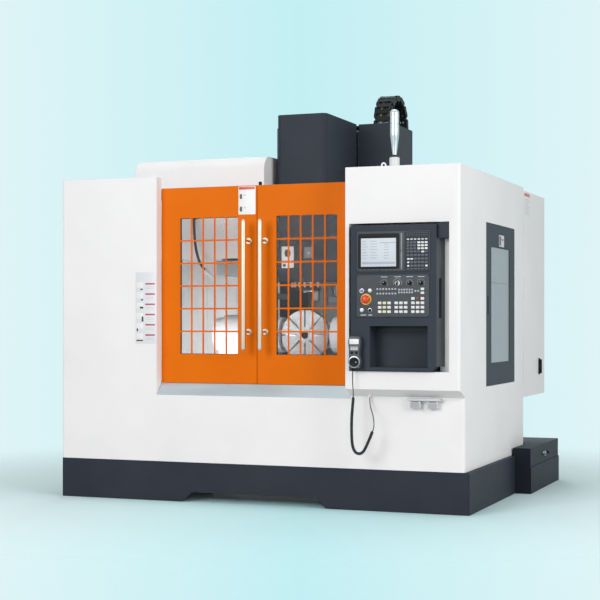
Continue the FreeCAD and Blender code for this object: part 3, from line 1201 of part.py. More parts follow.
def saddle():
    """The cross saddle: blocks on the Y guideways below, X guideways above."""
    y0, y1 = SPINDLE_Y - SADDLE_DEEP / 2, SPINDLE_Y + SADDLE_DEEP / 2
    body = block(-SADDLE_HALF, SADDLE_HALF, y0, y1, SADDLE_LOW, SADDLE_TOP)
    parts = [body]
    for x in (-Y_RAIL_X, Y_RAIL_X):
        for y in (y0 + 20, y1 - 140):
            outer = block(x - 45, x + 45, y, y + 120, BED_TOP + 8, SADDLE_LOW + 1)
            groove = block(x - RAIL / 2 - BLOCK_GAP, x + RAIL / 2 + BLOCK_GAP, y - 1, y + 121,
                           BED_TOP, BED_TOP + RAIL_HIGH + BLOCK_GAP)
            parts.append(outer.cut(groove))
    for y in (SPINDLE_Y - X_RAIL_Y, SPINDLE_Y + X_RAIL_Y):
        parts.append(block(-SADDLE_HALF, SADDLE_HALF, y - RAIL / 2, y + RAIL / 2, SADDLE_TOP,
                           SADDLE_TOP + RAIL_HIGH))
    parts.append(block(-50, 50, SPINDLE_Y - 60, SPINDLE_Y + 60, BED_TOP - 20, SADDLE_LOW + 1))
    for x in (-X_SCREW_HALF, X_SCREW_HALF - BEARING_LONG):
        parts.append(block(x, x + BEARING_LONG, SPINDLE_Y - 34, SPINDLE_Y + 34, SADDLE_TOP - 1,
                           TABLE_LOW - 2))
    y_bore = bore(SCREW_R + SCREW_GAP, 20, V(0, y0 - 1, Y_SCREW_Z), Y_AXIS, SADDLE_DEEP + 2)
    x_bore = bore(SCREW_R + SCREW_GAP, 20, V(-X_SCREW_HALF - 1, SPINDLE_Y, X_SCREW_Z), X_AXIS,
                  2 * X_SCREW_HALF + 2)
    return join(*parts).cut([y_bore, x_bore])


def work_table():
    """The X table with its T-slots, blocks on the X guideways and screw nut."""
    y0, y1 = SPINDLE_Y - TABLE_DEEP / 2, SPINDLE_Y + TABLE_DEEP / 2
    body = block(-TABLE_HALF, TABLE_HALF, y0, y1, TABLE_LOW, TABLE_TOP)
    cuts = []
    for index in range(SLOT_COUNT):
        y = SPINDLE_Y + (index - (SLOT_COUNT - 1) / 2) * SLOT_PITCH
        cuts.append(block(-TABLE_HALF - 1, TABLE_HALF + 1, y - T_SLOT / 2, y + T_SLOT / 2,
                          TABLE_TOP - 34, TABLE_TOP + 1))
        cuts.append(block(-TABLE_HALF - 1, TABLE_HALF + 1, y - T_SLOT_HEAD / 2,
                          y + T_SLOT_HEAD / 2, TABLE_TOP - 34, TABLE_TOP - 18))
    parts = [body.cut(cuts)]
    for y in (SPINDLE_Y - X_RAIL_Y, SPINDLE_Y + X_RAIL_Y):
        for x in (-200, 90):
            outer = block(x, x + 110, y - 45, y + 45, SADDLE_TOP + 8, TABLE_LOW + 1)
            groove = block(x - 1, x + 111, y - RAIL / 2 - BLOCK_GAP, y + RAIL / 2 + BLOCK_GAP,
                           SADDLE_TOP, SADDLE_TOP + RAIL_HIGH + BLOCK_GAP)
            parts.append(outer.cut(groove))
    nut = block(-60, 60, SPINDLE_Y - 45, SPINDLE_Y + 45, SADDLE_TOP + 1, TABLE_LOW + 1)
    nut_bore = bore(SCREW_R + SCREW_GAP, 20, V(-61, SPINDLE_Y, X_SCREW_Z), X_AXIS, 122)
    parts.append(nut.cut(nut_bore))
    return join(*parts)


# ---- trunnion ---------------------------------------------------------------------
def trunnion_housing(left, right):
    """A cast housing with straight flanks under a round head."""
    head = faceted(TRUNNION_HEAD_R, 36, V(left, SPINDLE_Y, TILT_Z), X_AXIS, right - left)
    half = TRUNNION_HEAD_R * math.cos(math.pi / 36)
    leg = block(left, right, SPINDLE_Y - half, SPINDLE_Y + half, TABLE_TOP + BASE_PLATE - 1,
                TILT_Z)
    return join(head, leg)


def trunnion_frame():
    """Base plate, drive housing with its capped motor, and the far support."""
    plate = block(DRIVE_LEFT, SUPPORT_RIGHT, SPINDLE_Y - 170, SPINDLE_Y + 170, TABLE_TOP,
                  TABLE_TOP + BASE_PLATE)
    drive = trunnion_housing(DRIVE_LEFT, DRIVE_RIGHT)
    support = trunnion_housing(SUPPORT_LEFT, SUPPORT_RIGHT)
    cap = faceted(CAP_R, 28, V(DRIVE_LEFT - CAP_THICK, SPINDLE_Y, TILT_Z), X_AXIS,
                  CAP_THICK + 1)
    whole = join(plate, drive, support, cap)
    bores = [bore(CAP_BORE_R, 20, V(DRIVE_LEFT - CAP_THICK - 1, SPINDLE_Y, TILT_Z), X_AXIS, 31)]
    for start in (DRIVE_RIGHT - JOURNAL_LONG - 2, SUPPORT_LEFT - 1):
        bores.append(bore(JOURNAL_R + BLOCK_GAP, 24, V(start, SPINDLE_Y, TILT_Z), X_AXIS,
                          JOURNAL_LONG + 3))
    return whole.cut(bores)


def tilt_cradle():
    """The swinging cradle: two cheeks with journals and the rotary table's seat."""
    parts = []
    for side in (-1, 1):
        near, far = sorted((side * CHEEK_IN, side * CHEEK_OUT))
        parts.append(faceted(CHEEK_R, 28, V(near, SPINDLE_Y, TILT_Z), X_AXIS, far - near))
        start = CHEEK_OUT - 1 if side > 0 else -CHEEK_OUT + 1
        parts.append(faceted(JOURNAL_R, 24, V(start, SPINDLE_Y, TILT_Z), X_AXIS * side,
                             JOURNAL_LONG + 8))
    seat_front = SPINDLE_Y - TABLE_FACE + TABLE_THICK + 1
    seat = block(-CHEEK_OUT + 4, CHEEK_OUT - 4, seat_front + 6, seat_front + 76,
                 TILT_Z - 84, TILT_Z + 84)
    drum = faceted(122, 16, V(0, seat_front + 6, TILT_Z), Y_AXIS, 96)
    whole = join(*parts, seat, drum)
    return whole.cut(bore(HUB_R + BLOCK_GAP, 24, V(0, seat_front + 5, TILT_Z), Y_AXIS,
                          HUB_LONG + 4))


def rotary_table():
    """The round table with radial T-slots, a centre bore and its hub."""
    front = SPINDLE_Y - TABLE_FACE
    disc = faceted(TABLE_R, 48, V(0, front, TILT_Z), Y_AXIS, TABLE_THICK)
    hub = faceted(HUB_R, 24, V(0, front + TABLE_THICK - 1, TILT_Z), Y_AXIS, HUB_LONG)
    whole = join(disc, hub)
    cuts = [rod(TABLE_BORE_R, V(0, front - 1, TILT_Z), Y_AXIS, TABLE_THICK + HUB_LONG + 2)]
    for index in range(RADIAL_SLOTS):
        slot = block(52, TABLE_R + 2, front - 1, front + RADIAL_DEEP, TILT_Z - RADIAL_SLOT / 2,
                     TILT_Z + RADIAL_SLOT / 2)
        slot.rotate(V(0, 0, TILT_Z), Y_AXIS, 360.0 * index / RADIAL_SLOTS)
        cuts.append(slot)
    return whole.cut(cuts)


# ---- tool magazine ----------------------------------------------------------------
def magazine_cover():
    """White magazine hood with a rounded front top edge, open below."""
    outer = block(MAG_LEFT, MAG_RIGHT, MAG_FRONT, GUARD_BACK, MAG_LOW, MAG_TOP)
    outer = rounded(outer, MAG_CORNER_R, lambda middle, edge: middle.y < MAG_FRONT + 1
                    and middle.z > MAG_TOP - 1)
    inner = block(MAG_LEFT + SHEET, MAG_RIGHT - SHEET, MAG_FRONT + SHEET, GUARD_BACK - SHEET,
                  MAG_LOW - 1, MAG_TOP - SHEET)
    inner = rounded(inner, MAG_CORNER_R - SHEET, lambda middle, edge:
                    middle.y < MAG_FRONT + SHEET + 1 and middle.z > MAG_TOP - SHEET - 1)
    return outer.cut(inner)


def magazine_housing():
    """The changer's housing under the hood: pot gate, cam box and disc bearing."""
    shell = block(HOUSING_LEFT, HOUSING_RIGHT, HOUSING_FRONT, GUARD_BACK, HOUSING_LOW,
                  MAG_LOW - 6)
    gate = block(HOUSING_LEFT + 20, HOUSING_LEFT + 170, SPINDLE_Y - 60, SPINDLE_Y + 60,
                 HOUSING_LOW - 1, HOUSING_LOW + 60)
    cam_box = block(ARM_X - 60, HOUSING_RIGHT - 6, SPINDLE_Y + 70, SPINDLE_Y + 300,
                    MAG_LOW - 7, MAG_LOW + 340)
    bearing = faceted(60, 16, V(DISC_FACE + DISC_THICK + 4, DISC_Y, DISC_Z), X_AXIS, 60)
    stand = block(DISC_FACE + DISC_THICK + 30, DISC_FACE + DISC_THICK + 64, DISC_Y - 70,
                  DISC_Y + 70, MAG_LOW - 7, DISC_Z)
    tie = block(DISC_FACE + DISC_THICK + 30, ARM_X - 58, DISC_Y + 60, DISC_Y + 90,
                MAG_LOW - 7, MAG_LOW + 180)
    whole = join(shell, cam_box, bearing, stand, tie)
    hub_bore = bore(HUB_OUT_R + BLOCK_GAP, 20, V(ARM_X, SPINDLE_Y, HOUSING_LOW - 1), Z_AXIS,
                    64)
    shaft_bore = bore(SHAFT_R + 2, 12, V(ARM_X, SPINDLE_Y, HOUSING_LOW - 1), Z_AXIS, 400)
    pin_bore = bore(DISC_PIN_R + BLOCK_GAP, 16, V(DISC_FACE, DISC_Y, DISC_Z), X_AXIS, 80)
    return whole.cut([gate, hub_bore, shaft_bore, pin_bore])


def magazine_disc():
    """The carousel: a spoked disc with a ring of tool pots."""
    disc = faceted(DISC_R, 2 * POTS, V(DISC_FACE, DISC_Y, DISC_Z), X_AXIS, DISC_THICK)
    pin = faceted(DISC_PIN_R, 16, V(DISC_FACE, DISC_Y, DISC_Z), X_AXIS, 78)
    pots = []
    for index in range(POTS):
        angle = 2 * math.pi * (index + 0.5) / POTS
        y = DISC_Y + POT_CIRCLE * math.cos(angle)
        z = DISC_Z + POT_CIRCLE * math.sin(angle)
        outer = prism([V(DISC_FACE - POT_LONG + 20,
                         y + POT_R * math.cos(angle + math.pi * (2 * k + 1) / 6),
                         z + POT_R * math.sin(angle + math.pi * (2 * k + 1) / 6))
                       for k in range(6)], V(POT_LONG, 0, 0))
        web = block(DISC_FACE + 2, DISC_FACE + DISC_THICK - 2, DISC_Y, DISC_Y + POT_CIRCLE - 6,
                    DISC_Z - 10, DISC_Z + 10)
        web.rotate(V(0, DISC_Y, DISC_Z), X_AXIS, math.degrees(angle))
        pots.append(outer)
        pots.append(web)
    return join(disc, pin, *pots)


def arm_hub():
    """The turning hub that drives the changer's shaft."""
    hub = faceted(HUB_OUT_R, 20, V(ARM_X, SPINDLE_Y, HOUSING_LOW + 4), Z_AXIS, 56)
    return hub.cut(block(ARM_X - SHAFT_R * 0.8, ARM_X + SHAFT_R * 0.8,
                         SPINDLE_Y - SHAFT_R * 0.8, SPINDLE_Y + SHAFT_R * 0.8,
                         HOUSING_LOW, HOUSING_LOW + 70))


def tool_change_arm():
    """The double gripper arm on its square shaft."""
    low = ARM_TOP - ARM_THICK
    half = ARM_WIDE / 2
    long_half = ARM_HALF
    outline = [V(ARM_X - half, SPINDLE_Y - 70, low),
               V(ARM_X - half * 0.6, SPINDLE_Y - long_half + 40, low),
               V(ARM_X - half, SPINDLE_Y - long_half - 24, low),
               V(ARM_X + half, SPINDLE_Y - long_half - 24, low),
               V(ARM_X + half * 0.8, SPINDLE_Y - long_half + 40, low),
               V(ARM_X + half, SPINDLE_Y - 70, low), V(ARM_X + half, SPINDLE_Y + 70, low),
               V(ARM_X + half * 0.6, SPINDLE_Y + long_half - 40, low),
               V(ARM_X + half, SPINDLE_Y + long_half + 24, low),
               V(ARM_X - half, SPINDLE_Y + long_half + 24, low),
               V(ARM_X - half * 0.8, SPINDLE_Y + long_half - 40, low),
               V(ARM_X - half, SPINDLE_Y + 70, low)]
    arm = prism(outline, V(0, 0, ARM_THICK))
    grips = []
    for side in (-1, 1):
        grips.append(faceted(GRIP_R, 16, V(ARM_X + side * 24, SPINDLE_Y + side * long_half, low - 1),
                         Z_AXIS, ARM_THICK + 2))
    arm = arm.cut(grips)
    square = SHAFT_R * 0.7
    shaft = block(ARM_X - square, ARM_X + square, SPINDLE_Y - square, SPINDLE_Y + square,
                  low + 5, HOUSING_LOW + 180)
    hub = faceted(46, 20, V(ARM_X, SPINDLE_Y, low - 4), Z_AXIS, ARM_THICK + 8)
    return join(arm, hub, shaft)


# ---- drag chain -------------------------------------------------------------------
def chain_pitch():
    """Distance between link pins, from the number of links in the half turn."""
    return 2 * CHAIN_R * math.sin(math.pi / CHAIN_ARCH_LINKS / 2)


def chain_spring():
    """Height at which the arch starts to bend."""
    return CHAIN_TOP - CHAIN_R - CHAIN_HALF_HIGH


def chain_foot():
    """Height of the lowest pins."""
    return chain_spring() - CHAIN_LEG_LINKS * chain_pitch()


def chain_pins():
    """The pins of the chain from its rear foot, over the arch, to its front foot."""
    pins = []
    for index in range(CHAIN_LEG_LINKS):
        pins.append((CHAIN_Y + CHAIN_R, chain_foot() + index * chain_pitch()))
    for index in range(CHAIN_ARCH_LINKS + 1):
        angle = math.pi * index / CHAIN_ARCH_LINKS
        pins.append((CHAIN_Y + CHAIN_R * math.cos(angle),
                     chain_spring() + CHAIN_R * math.sin(angle)))
    for index in range(CHAIN_LEG_LINKS):
        pins.append((CHAIN_Y - CHAIN_R, chain_spring() - (index + 1) * chain_pitch()))
    return pins


def chain_link(start, end, narrow):
    """One link: two waisted side plates and two cross bars. Narrow ones sit inside."""
    run_y, run_z = end[0] - start[0], end[1] - start[1]
    length = math.hypot(run_y, run_z)
    inset = LINK_SIDE if narrow else 0.0
    left, right = CHAIN_LEFT + inset, CHAIN_RIGHT - inset
    half = CHAIN_HALF_HIGH
    nose = half * 0.55
    side = [V(0, -nose, -half), V(0, length + nose, -half), V(0, length + half, 0),
            V(0, length + nose, half), V(0, -nose, half), V(0, -half, 0)]
    parts = []
    for x in (left, right - LINK_SIDE):
        parts.append(prism([V(x, p.y, p.z) for p in side], V(LINK_SIDE, 0, 0)))
    middle = length / 2
    for z in (-half + 1, half - 1 - LINK_BAR / 3):
        parts.append(block(left + LINK_SIDE / 2, right - LINK_SIDE / 2, middle - LINK_BAR / 2,
                           middle + LINK_BAR / 2, z, z + LINK_BAR / 3))
    link = join(*parts)
    link.rotate(V(0, 0, 0), X_AXIS, math.degrees(math.atan2(run_z, run_y)))
    link.translate(V(0, start[0], start[1]))
    return link


def drag_chain():
    """The energy chain as separate links, wide and narrow in turn."""
    pins = chain_pins()
    links = []
    for index, (start, end) in enumerate(zip(pins, pins[1:])):
        links.append(chain_link(start, end, index % 2 == 1))
    return Part.makeCompound(links)


def wash_hose():
    """The black wash hose held at the hood's front, ending in its nozzle."""
    hose, radii = tube(list(HOSE_POINTS), HOSE_R)
    print("wash hose radii", [round(r) for r in radii])
    end = HOSE_POINTS[-1]
    along = (end - HOSE_POINTS[-2]).normalize()
    nozzle = tapered(HOSE_R + 5, HOSE_R - 2, 12, end - along * 4, along, 60)
    top = HOSE_POINTS[0]
    union = faceted(HOSE_R + 5, 12, top + V(0, 0, 4), -Z_AXIS, 24)
    stay = block(top.x - 12, top.x + 12, top.y, MAG_FRONT, top.z - 16, top.z)
    return join(hose, nozzle, union, stay)


PIECES = {
    "bed": bed, "base_plinth": base_plinth, "column": column, "column_cover": column_cover,
    "front_enclosure": front_enclosure, "left_side_panel": left_side_panel,
    "right_side_panel": right_side_panel, "rear_enclosure": rear_enclosure,
    "inner_guards": inner_guards, "door_rails": door_rails, "door_sill": door_sill,
    "magazine_cover": magazine_cover, "magazine_housing": magazine_housing,
    "operator_box": operator_box, "operator_panel": operator_panel,
    "display_unit": display_unit, "display_screen": display_screen,
    "machine_panel": machine_panel, "mpg_pendant": mpg_pendant, "mpg_wheel": mpg_wheel,
    "socket_plate": socket_plate, "signal_lamp": signal_lamp,
    "electrical_cabinet": electrical_cabinet, "cabinet_door": cabinet_door,
    "cabinet_latch": cabinet_latch, "coolant_tank": coolant_tank,
    "linear_guides": linear_guides, "x_screw": x_screw, "y_screw": y_screw,
    "z_screw": z_screw, "saddle": saddle, "work_table": work_table,
    "trunnion_frame": trunnion_frame, "tilt_cradle": tilt_cradle,
    "rotary_table": rotary_table, "spindle_head": spindle_head, "head_cover": head_cover,
    "spindle": spindle, "magazine_disc": magazine_disc, "arm_hub": arm_hub,
    "tool_change_arm": tool_change_arm, "drag_chain": drag_chain, "wash_hose": wash_hose,
    "side_door": side_door, "side_door_pane": side_door_pane,
    "e_stop_button": e_stop_button, "key_switch": key_switch, "mpg_coil": mpg_coil,
    "mpg_lead_upper": mpg_lead_upper, "mpg_lead_lower": mpg_lead_lower,
}


def add_pairs():
    """Left and right doors, and the selectors."""
    for side, name in ((-1, "left"), (1, "right")):
        PIECES["door_" + name] = lambda side=side: sliding_door(side)
        PIECES["door_pane_" + name] = lambda side=side: door_pane(side)
        PIECES["door_handle_" + name] = lambda side=side: door_handle(side)
    for index in range(len(SELECTOR_X)):
        PIECES["selector_%d" % (index + 1)] = lambda index=index: selector(index)


def main():
    """Builds every piece, moves it to the machine's own frame and writes it."""
    os.makedirs("parts", exist_ok=True)
    add_pairs()
    for name, make in PIECES.items():
        shape = make()
        shape.translate(-ORIGIN)
        good = shape.isValid() and all(solid.isClosed() for solid in shape.Solids)
        if not good or not shape.Solids:
            print("check", name, shape.ShapeType, shape.isValid())
        shape.exportStep("parts/%s.step" % name)


main()
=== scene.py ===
"""Five-axis vertical machining centre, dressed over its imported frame.

Shapes are given in the drawing's millimetres: X runs right from the line where the
doors meet, Y runs back from the front sheet, Z up from the floor. place() turns them
into the frame's metres.
"""
import json
import math

import bmesh
import bpy
import numpy as np
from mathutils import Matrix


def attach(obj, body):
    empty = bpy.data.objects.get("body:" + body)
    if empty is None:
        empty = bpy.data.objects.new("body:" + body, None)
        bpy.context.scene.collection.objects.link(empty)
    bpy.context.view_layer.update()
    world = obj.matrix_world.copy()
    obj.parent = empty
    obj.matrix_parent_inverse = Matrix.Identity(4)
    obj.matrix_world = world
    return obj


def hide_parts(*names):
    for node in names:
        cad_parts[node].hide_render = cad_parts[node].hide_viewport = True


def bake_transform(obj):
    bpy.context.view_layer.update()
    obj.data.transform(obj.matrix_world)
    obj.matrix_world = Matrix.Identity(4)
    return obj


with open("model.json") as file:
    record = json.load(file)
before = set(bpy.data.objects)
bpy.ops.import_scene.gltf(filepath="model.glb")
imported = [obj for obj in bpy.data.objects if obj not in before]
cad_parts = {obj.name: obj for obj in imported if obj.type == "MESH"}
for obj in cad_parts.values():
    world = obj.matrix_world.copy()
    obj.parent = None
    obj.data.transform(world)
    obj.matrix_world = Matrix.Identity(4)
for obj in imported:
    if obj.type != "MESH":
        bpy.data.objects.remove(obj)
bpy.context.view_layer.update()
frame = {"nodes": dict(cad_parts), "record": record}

BED_MIDDLE = 1075.0     # the drawing's Y at the frame's origin, mm
SMOOTH_ANGLE = 32.0     # edges sharper than this stay sharp, degrees
BEVEL_ANGLE = 30.0      # edges sharper than this are rounded on the solids, degrees

# directions of an outline's two axes and of its height, for a face that looks that way
FRONT = np.array([(1, 0, 0), (0, 0, 1), (0, -1, 0)], float)
BACK = np.array([(-1, 0, 0), (0, 0, 1), (0, 1, 0)], float)
RIGHT = np.array([(0, 1, 0), (0, 0, 1), (1, 0, 0)], float)
LEFT = np.array([(0, -1, 0), (0, 0, 1), (-1, 0, 0)], float)
TOP = np.array([(1, 0, 0), (0, 1, 0), (0, 0, 1)], float)
UNDER = np.array([(-1, 0, 0), (0, 1, 0), (0, 0, -1)], float)

# the body that each node rides
BODY_OF = {node: body for body, nodes in frame["record"]["behaviour"]["bodies"].items()
           for node in nodes}


# ---- colour and shader nodes ------------------------------------------------------
MIX_FROM, MIX_TO, MIX_RESULT = 6, 7, 2     # a Mix node's colour sockets, by number


def linear(code):
    """sRGB hex to linear RGBA: below 0.04045 divided by 12.92, above it a 2.4 power."""
    levels = np.array([int(code[k:k + 2], 16) for k in (1, 3, 5)]) / 255.0
    values = np.where(levels <= 0.04045, levels / 12.92, ((levels + 0.055) / 1.055) ** 2.4)
    return (*values.tolist(), 1.0)


def add(tree, kind, inputs=None, **settings):
    """One shader node: settings are its properties, inputs are values or sockets."""
    node = tree.nodes.new("ShaderNode" + kind)
    for name, value in settings.items():
        setattr(node, name, value)
    for name, value in (inputs or {}).items():
        if isinstance(value, bpy.types.NodeSocket):
            tree.links.new(value, node.inputs[name])
        else:
            node.inputs[name].default_value = value
    return node


def new_material(name):
    """A material with an empty node tree, that tree, and the object's coordinates in it."""
    material = bpy.data.materials.new(name)
    material.use_nodes = True
    tree = material.node_tree
    tree.nodes.clear()
    return material, tree, add(tree, "TexCoord").outputs["Object"]


def finish(name, light, dark, rough, grain, bump, patch=350.0, stretch=(1, 1, 1),
           shader=None):
    """A finish from its two shades, its roughness range and its surface grain.

    Noise of the patch size in mm moves the colour between the shades. Noise of the grain
    size in mm, stretched, moves the roughness through its range and lifts the surface by
    the bump in mm.
    """
    material, tree, where = new_material(name)
    broad = add(tree, "TexNoise", {"Vector": where, "Scale": 1000.0 / patch, "Detail": 3.0})
    drawn = add(tree, "Mapping", {"Vector": where, "Scale": stretch})
    fine = add(tree, "TexNoise", {"Vector": drawn.outputs[0], "Scale": 1000.0 / grain,
                                  "Detail": 2.0})
    shade = add(tree, "MapRange", {"Value": broad.outputs[0], "From Min": 0.25,
                                   "From Max": 0.75})
    colour = add(tree, "Mix", {0: shade.outputs[0], MIX_FROM: linear(dark),
                               MIX_TO: linear(light)}, data_type="RGBA")
    shine = add(tree, "MapRange", {"Value": fine.outputs[0], "From Min": 0.3, "From Max": 0.7,
                                   "To Min": rough[0], "To Max": rough[1]})
    relief = add(tree, "Bump", {"Height": fine.outputs[0], "Strength": 1.0,
                                "Distance": bump / 1000.0})
    body = add(tree, "BsdfPrincipled", {"Base Color": colour.outputs[MIX_RESULT],
                                        "Roughness": shine.outputs[0],
                                        "Normal": relief.outputs[0], **(shader or {})})
    add(tree, "OutputMaterial", {"Surface": body.outputs[0]})
    return material


# ---- finishes ---------------------------------------------------------------------
# Polyester powder coat on sheet steel: even colour, a satin gloss and a faint orange
# peel. The peel is really about 1.5 mm; it is drawn at 5 mm so that it shows.
COAT = {"Specular IOR Level": 0.16}     # a matted coat, with a weak mirror
WHITE = finish("white_powder_coat", "#f3f3f3", "#ededee", (0.4, 0.5), 5.0, 0.02, shader=COAT)
NAVY = finish("blue_grey_powder_coat", "#333842", "#2c313a", (0.48, 0.6), 5.0, 0.03,
              shader=COAT)
PLINTH = finish("dark_base_powder_coat", "#30353f", "#292d37", (0.5, 0.64), 5.0, 0.04,
                shader=COAT)
TANK = finish("dark_tank_powder_coat", "#232830", "#1d2128", (0.5, 0.64), 5.0, 0.05,
              shader=COAT)
ORANGE = finish("orange_powder_coat", "#e87309", "#e16d06", (0.46, 0.54), 5.0, 0.02,
                shader={"Specular IOR Level": 0.07})
PALE = finish("light_grey_powder_coat", "#b9bdc1", "#abafb4", (0.4, 0.5), 5.0, 0.02,
              shader=COAT)
# Fine-textured coat on the operator panel's housing: dull, with a sandy grain.
PANEL = finish("textured_panel_coat", "#373e47", "#303640", (0.52, 0.64), 2.5, 0.05,
               shader=COAT)
# Embossed polyester film over the control plates: even and dull.
FASCIA = finish("grey_panel_film", "#505459", "#484b51", (0.46, 0.56), 2.5, 0.02, 40.0,
                shader=COAT)
# Chamber lining: galvanised and painted sheet, wetted and wiped, with soft blotches.
LINING = finish("chamber_lining", "#eceded", "#dcdedf", (0.3, 0.48), 30.0, 0.05, 120.0,
                shader=COAT)
# Stainless sheet, brushed along the sill: a soft sheen in streaks a metre long.
STAINLESS = finish("brushed_stainless", "#ccd3d8", "#b6bec4", (0.36, 0.48), 3.0, 0.02, 700.0,
                   (0.01, 1, 1), {"Metallic": 0.85, "Anisotropic": 0.5})
# Satin stainless tube, drawn lengthwise: warmed by a painted reflection of the orange doors.
HANDLE_PAINTED_REFLECTION = finish("satin_stainless_tube_painted_reflection", "#d6c0a8", "#ccb79f", (0.42, 0.52), 2.0, 0.01, 400.0,
                (1, 1, 0.05), {"Metallic": 1.0})
# Satin aluminium tube, drawn lengthwise: paler and cooler than the steel.
ALUMINIUM = finish("satin_aluminium_tube", "#c9cccf", "#b7babd", (0.3, 0.42), 2.0, 0.01, 200.0,
                   (1, 1, 0.05), {"Metallic": 1.0})
# Ground and hardened steel: bright, fine parallel marks.
STEEL = finish("ground_steel", "#c2c4c6", "#a3a6a9", (0.2, 0.34), 1.5, 0.01, 50.0,
               (1, 0.03, 1), {"Metallic": 1.0})
# Turned steel face: fine tool marks.
TURNED = finish("turned_steel", "#c6c8ca", "#aaadb0", (0.22, 0.36), 1.2, 0.015, 40.0,
                (1, 1, 1), {"Metallic": 1.0})
# Black-oxide steel of screws and unions: dark, with an oily sheen.
BLACKED = finish("black_oxide_steel", "#33353a", "#24262a", (0.3, 0.45), 2.0, 0.02, 60.0,
                 (1, 1, 1), {"Metallic": 0.8})
# Painted grey iron: filler and paint over a sand-cast skin.
CASTING = finish("painted_casting", "#aeb4b8", "#9aa0a5", (0.42, 0.6), 9.0, 0.25, 200.0)
CAST_WHITE = finish("white_painted_casting", "#dfe2e4", "#d0d4d7", (0.36, 0.5), 9.0, 0.12)
CAST_DARK = finish("dark_painted_casting", "#3a3e46", "#2c2f36", (0.42, 0.58), 9.0, 0.2)
# Moulded plastics: a fine spark-eroded grain, really 0.1 mm, drawn at 1.2 mm.
BLACK_PLASTIC = finish("moulded_black_nylon", "#1b1c1f", "#131416", (0.42, 0.55), 1.2, 0.03,
                       shader=COAT)
DARK_ABS = finish("moulded_dark_grey_abs", "#4a5057", "#3c4148", (0.4, 0.5), 1.2, 0.02)
GREY_PLASTIC = finish("moulded_grey_abs", "#83898e", "#757b80", (0.42, 0.54), 1.2, 0.03)
LIGHT_KEY = finish("moulded_light_keycap", "#e4e6e4", "#d6d9d8", (0.38, 0.48), 1.2, 0.02)
LIGHT_PLASTIC = finish("moulded_light_abs", "#d9dbda", "#cbcecd", (0.38, 0.5), 1.2, 0.02)
CREAM = finish("moulded_cream_keycap", "#e6e0b4", "#d8d2a2", (0.38, 0.48), 1.2, 0.02)
YELLOW = finish("moulded_yellow_abs", "#e8b428", "#d8a41c", (0.34, 0.44), 1.2, 0.02)
WINE = finish("moulded_wine_red_keycap", "#7c2a36", "#6e2430", (0.38, 0.48), 1.2, 0.02)
RED = finish("moulded_red_abs", "#dd4a22", "#cc3c18", (0.26, 0.36), 1.2, 0.02)
# Cord jackets, hoses and profiles: soft PVC, rubber and PU with a slight bloom.
JACKET = finish("cord_jacket_pvc", "#1f2023", "#151618", (0.38, 0.52), 1.5, 0.03, 40.0)
GASKET = finish("black_rubber_profile", "#222426", "#18191b", (0.5, 0.65), 1.5, 0.04, 60.0)
HOSE_YELLOW = finish("yellow_hose_pu", "#8d8252", "#7a6f42", (0.34, 0.46), 2.0, 0.02, 50.0)
# Printed film labels: a plain satin print on vinyl.
FILM_WHITE = finish("white_label_vinyl", "#f0f0ee", "#e6e6e4", (0.3, 0.38), 2.0, 0.005)
FILM_PALE = finish("pale_label_vinyl", "#e2e4e7", "#dcdee1", (0.3, 0.38), 2.0, 0.005)
FILM_GREY = finish("grey_label_vinyl", "#cfd1d4", "#c3c5c8", (0.3, 0.38), 2.0, 0.005)
FILM_RED = finish("red_label_vinyl", "#d2403a", "#c43630", (0.3, 0.38), 2.0, 0.005)
FILM_WINE = finish("wine_label_vinyl", "#b9586a", "#ab4d5f", (0.3, 0.38), 2.0, 0.005)
FILM_DARK = finish("dark_label_vinyl", "#3a3b3f", "#2f3034", (0.3, 0.38), 2.0, 0.005)
# Chrome-plated trim, satin: it mirrors the studio softly.
CHROME = finish("chrome_plated_trim", "#a6a8ab", "#96989b", (0.22, 0.32), 2.0, 0.003, 60.0,
                (1, 1, 1), {"Metallic": 1.0})


def smeared(name, scale, detail, rough, shader, low=0.0, high=1.0):
    """A plain surface whose roughness alone varies, with noise of that scale per metre.

    The noise from low to high takes the roughness through its range.
    """
    material, tree, where = new_material(name)
    smear = add(tree, "TexNoise", {"Vector": where, "Scale": scale, "Detail": detail})
    shine = add(tree, "MapRange", {"Value": smear.outputs[0], "From Min": low,
                                   "From Max": high, "To Min": rough[0], "To Max": rough[1]})
    body = add(tree, "BsdfPrincipled", {"Roughness": shine.outputs[0], **shader})
    add(tree, "OutputMaterial", {"Surface": body.outputs[0]})
    return material


def pane_glass(name, tint, share):
    """Laminated safety glass: a faint tint, a sharp reflection and wiped smears.

    share is how much of what lies behind it the tint covers.
    """
    return smeared(name, 9.0, 4.0, (0.02, 0.09), {"Base Color": linear(tint), "Alpha": share},
                   0.3, 0.7)


def lit(name, colour, glow):
    """A lit surface behind clear film: its own colour with a weak glow."""
    return smeared(name, 60.0, 2.0, (0.34, 0.44),
                   {"Base Color": linear(colour), "Emission Color": linear(colour),
                    "Emission Strength": glow})


GLASS = pane_glass("door_safety_glass", "#8c9294", 0.06)
SIDE_GLASS = pane_glass("side_safety_glass", "#8f9ca4", 0.8)
SCREEN = lit("display_film_pale", "#a9b1b7", 0.42)
SCREEN_BAR = lit("display_film_lilac", "#9294a8", 0.3)
SCREEN_MARK = lit("display_film_grey", "#7d8894", 0.2)
WORK_LAMP = lit("work_lamp_lens", "#f4f3ec", 2.5)


# ---- shapes -----------------------------------------------------------------------
def place(points):
    """Drawing millimetres to frame metres: less the bed's middle, over a thousand."""
    return (np.asarray(points, float) - (0.0, BED_MIDDLE, 0.0)) / 1000.0


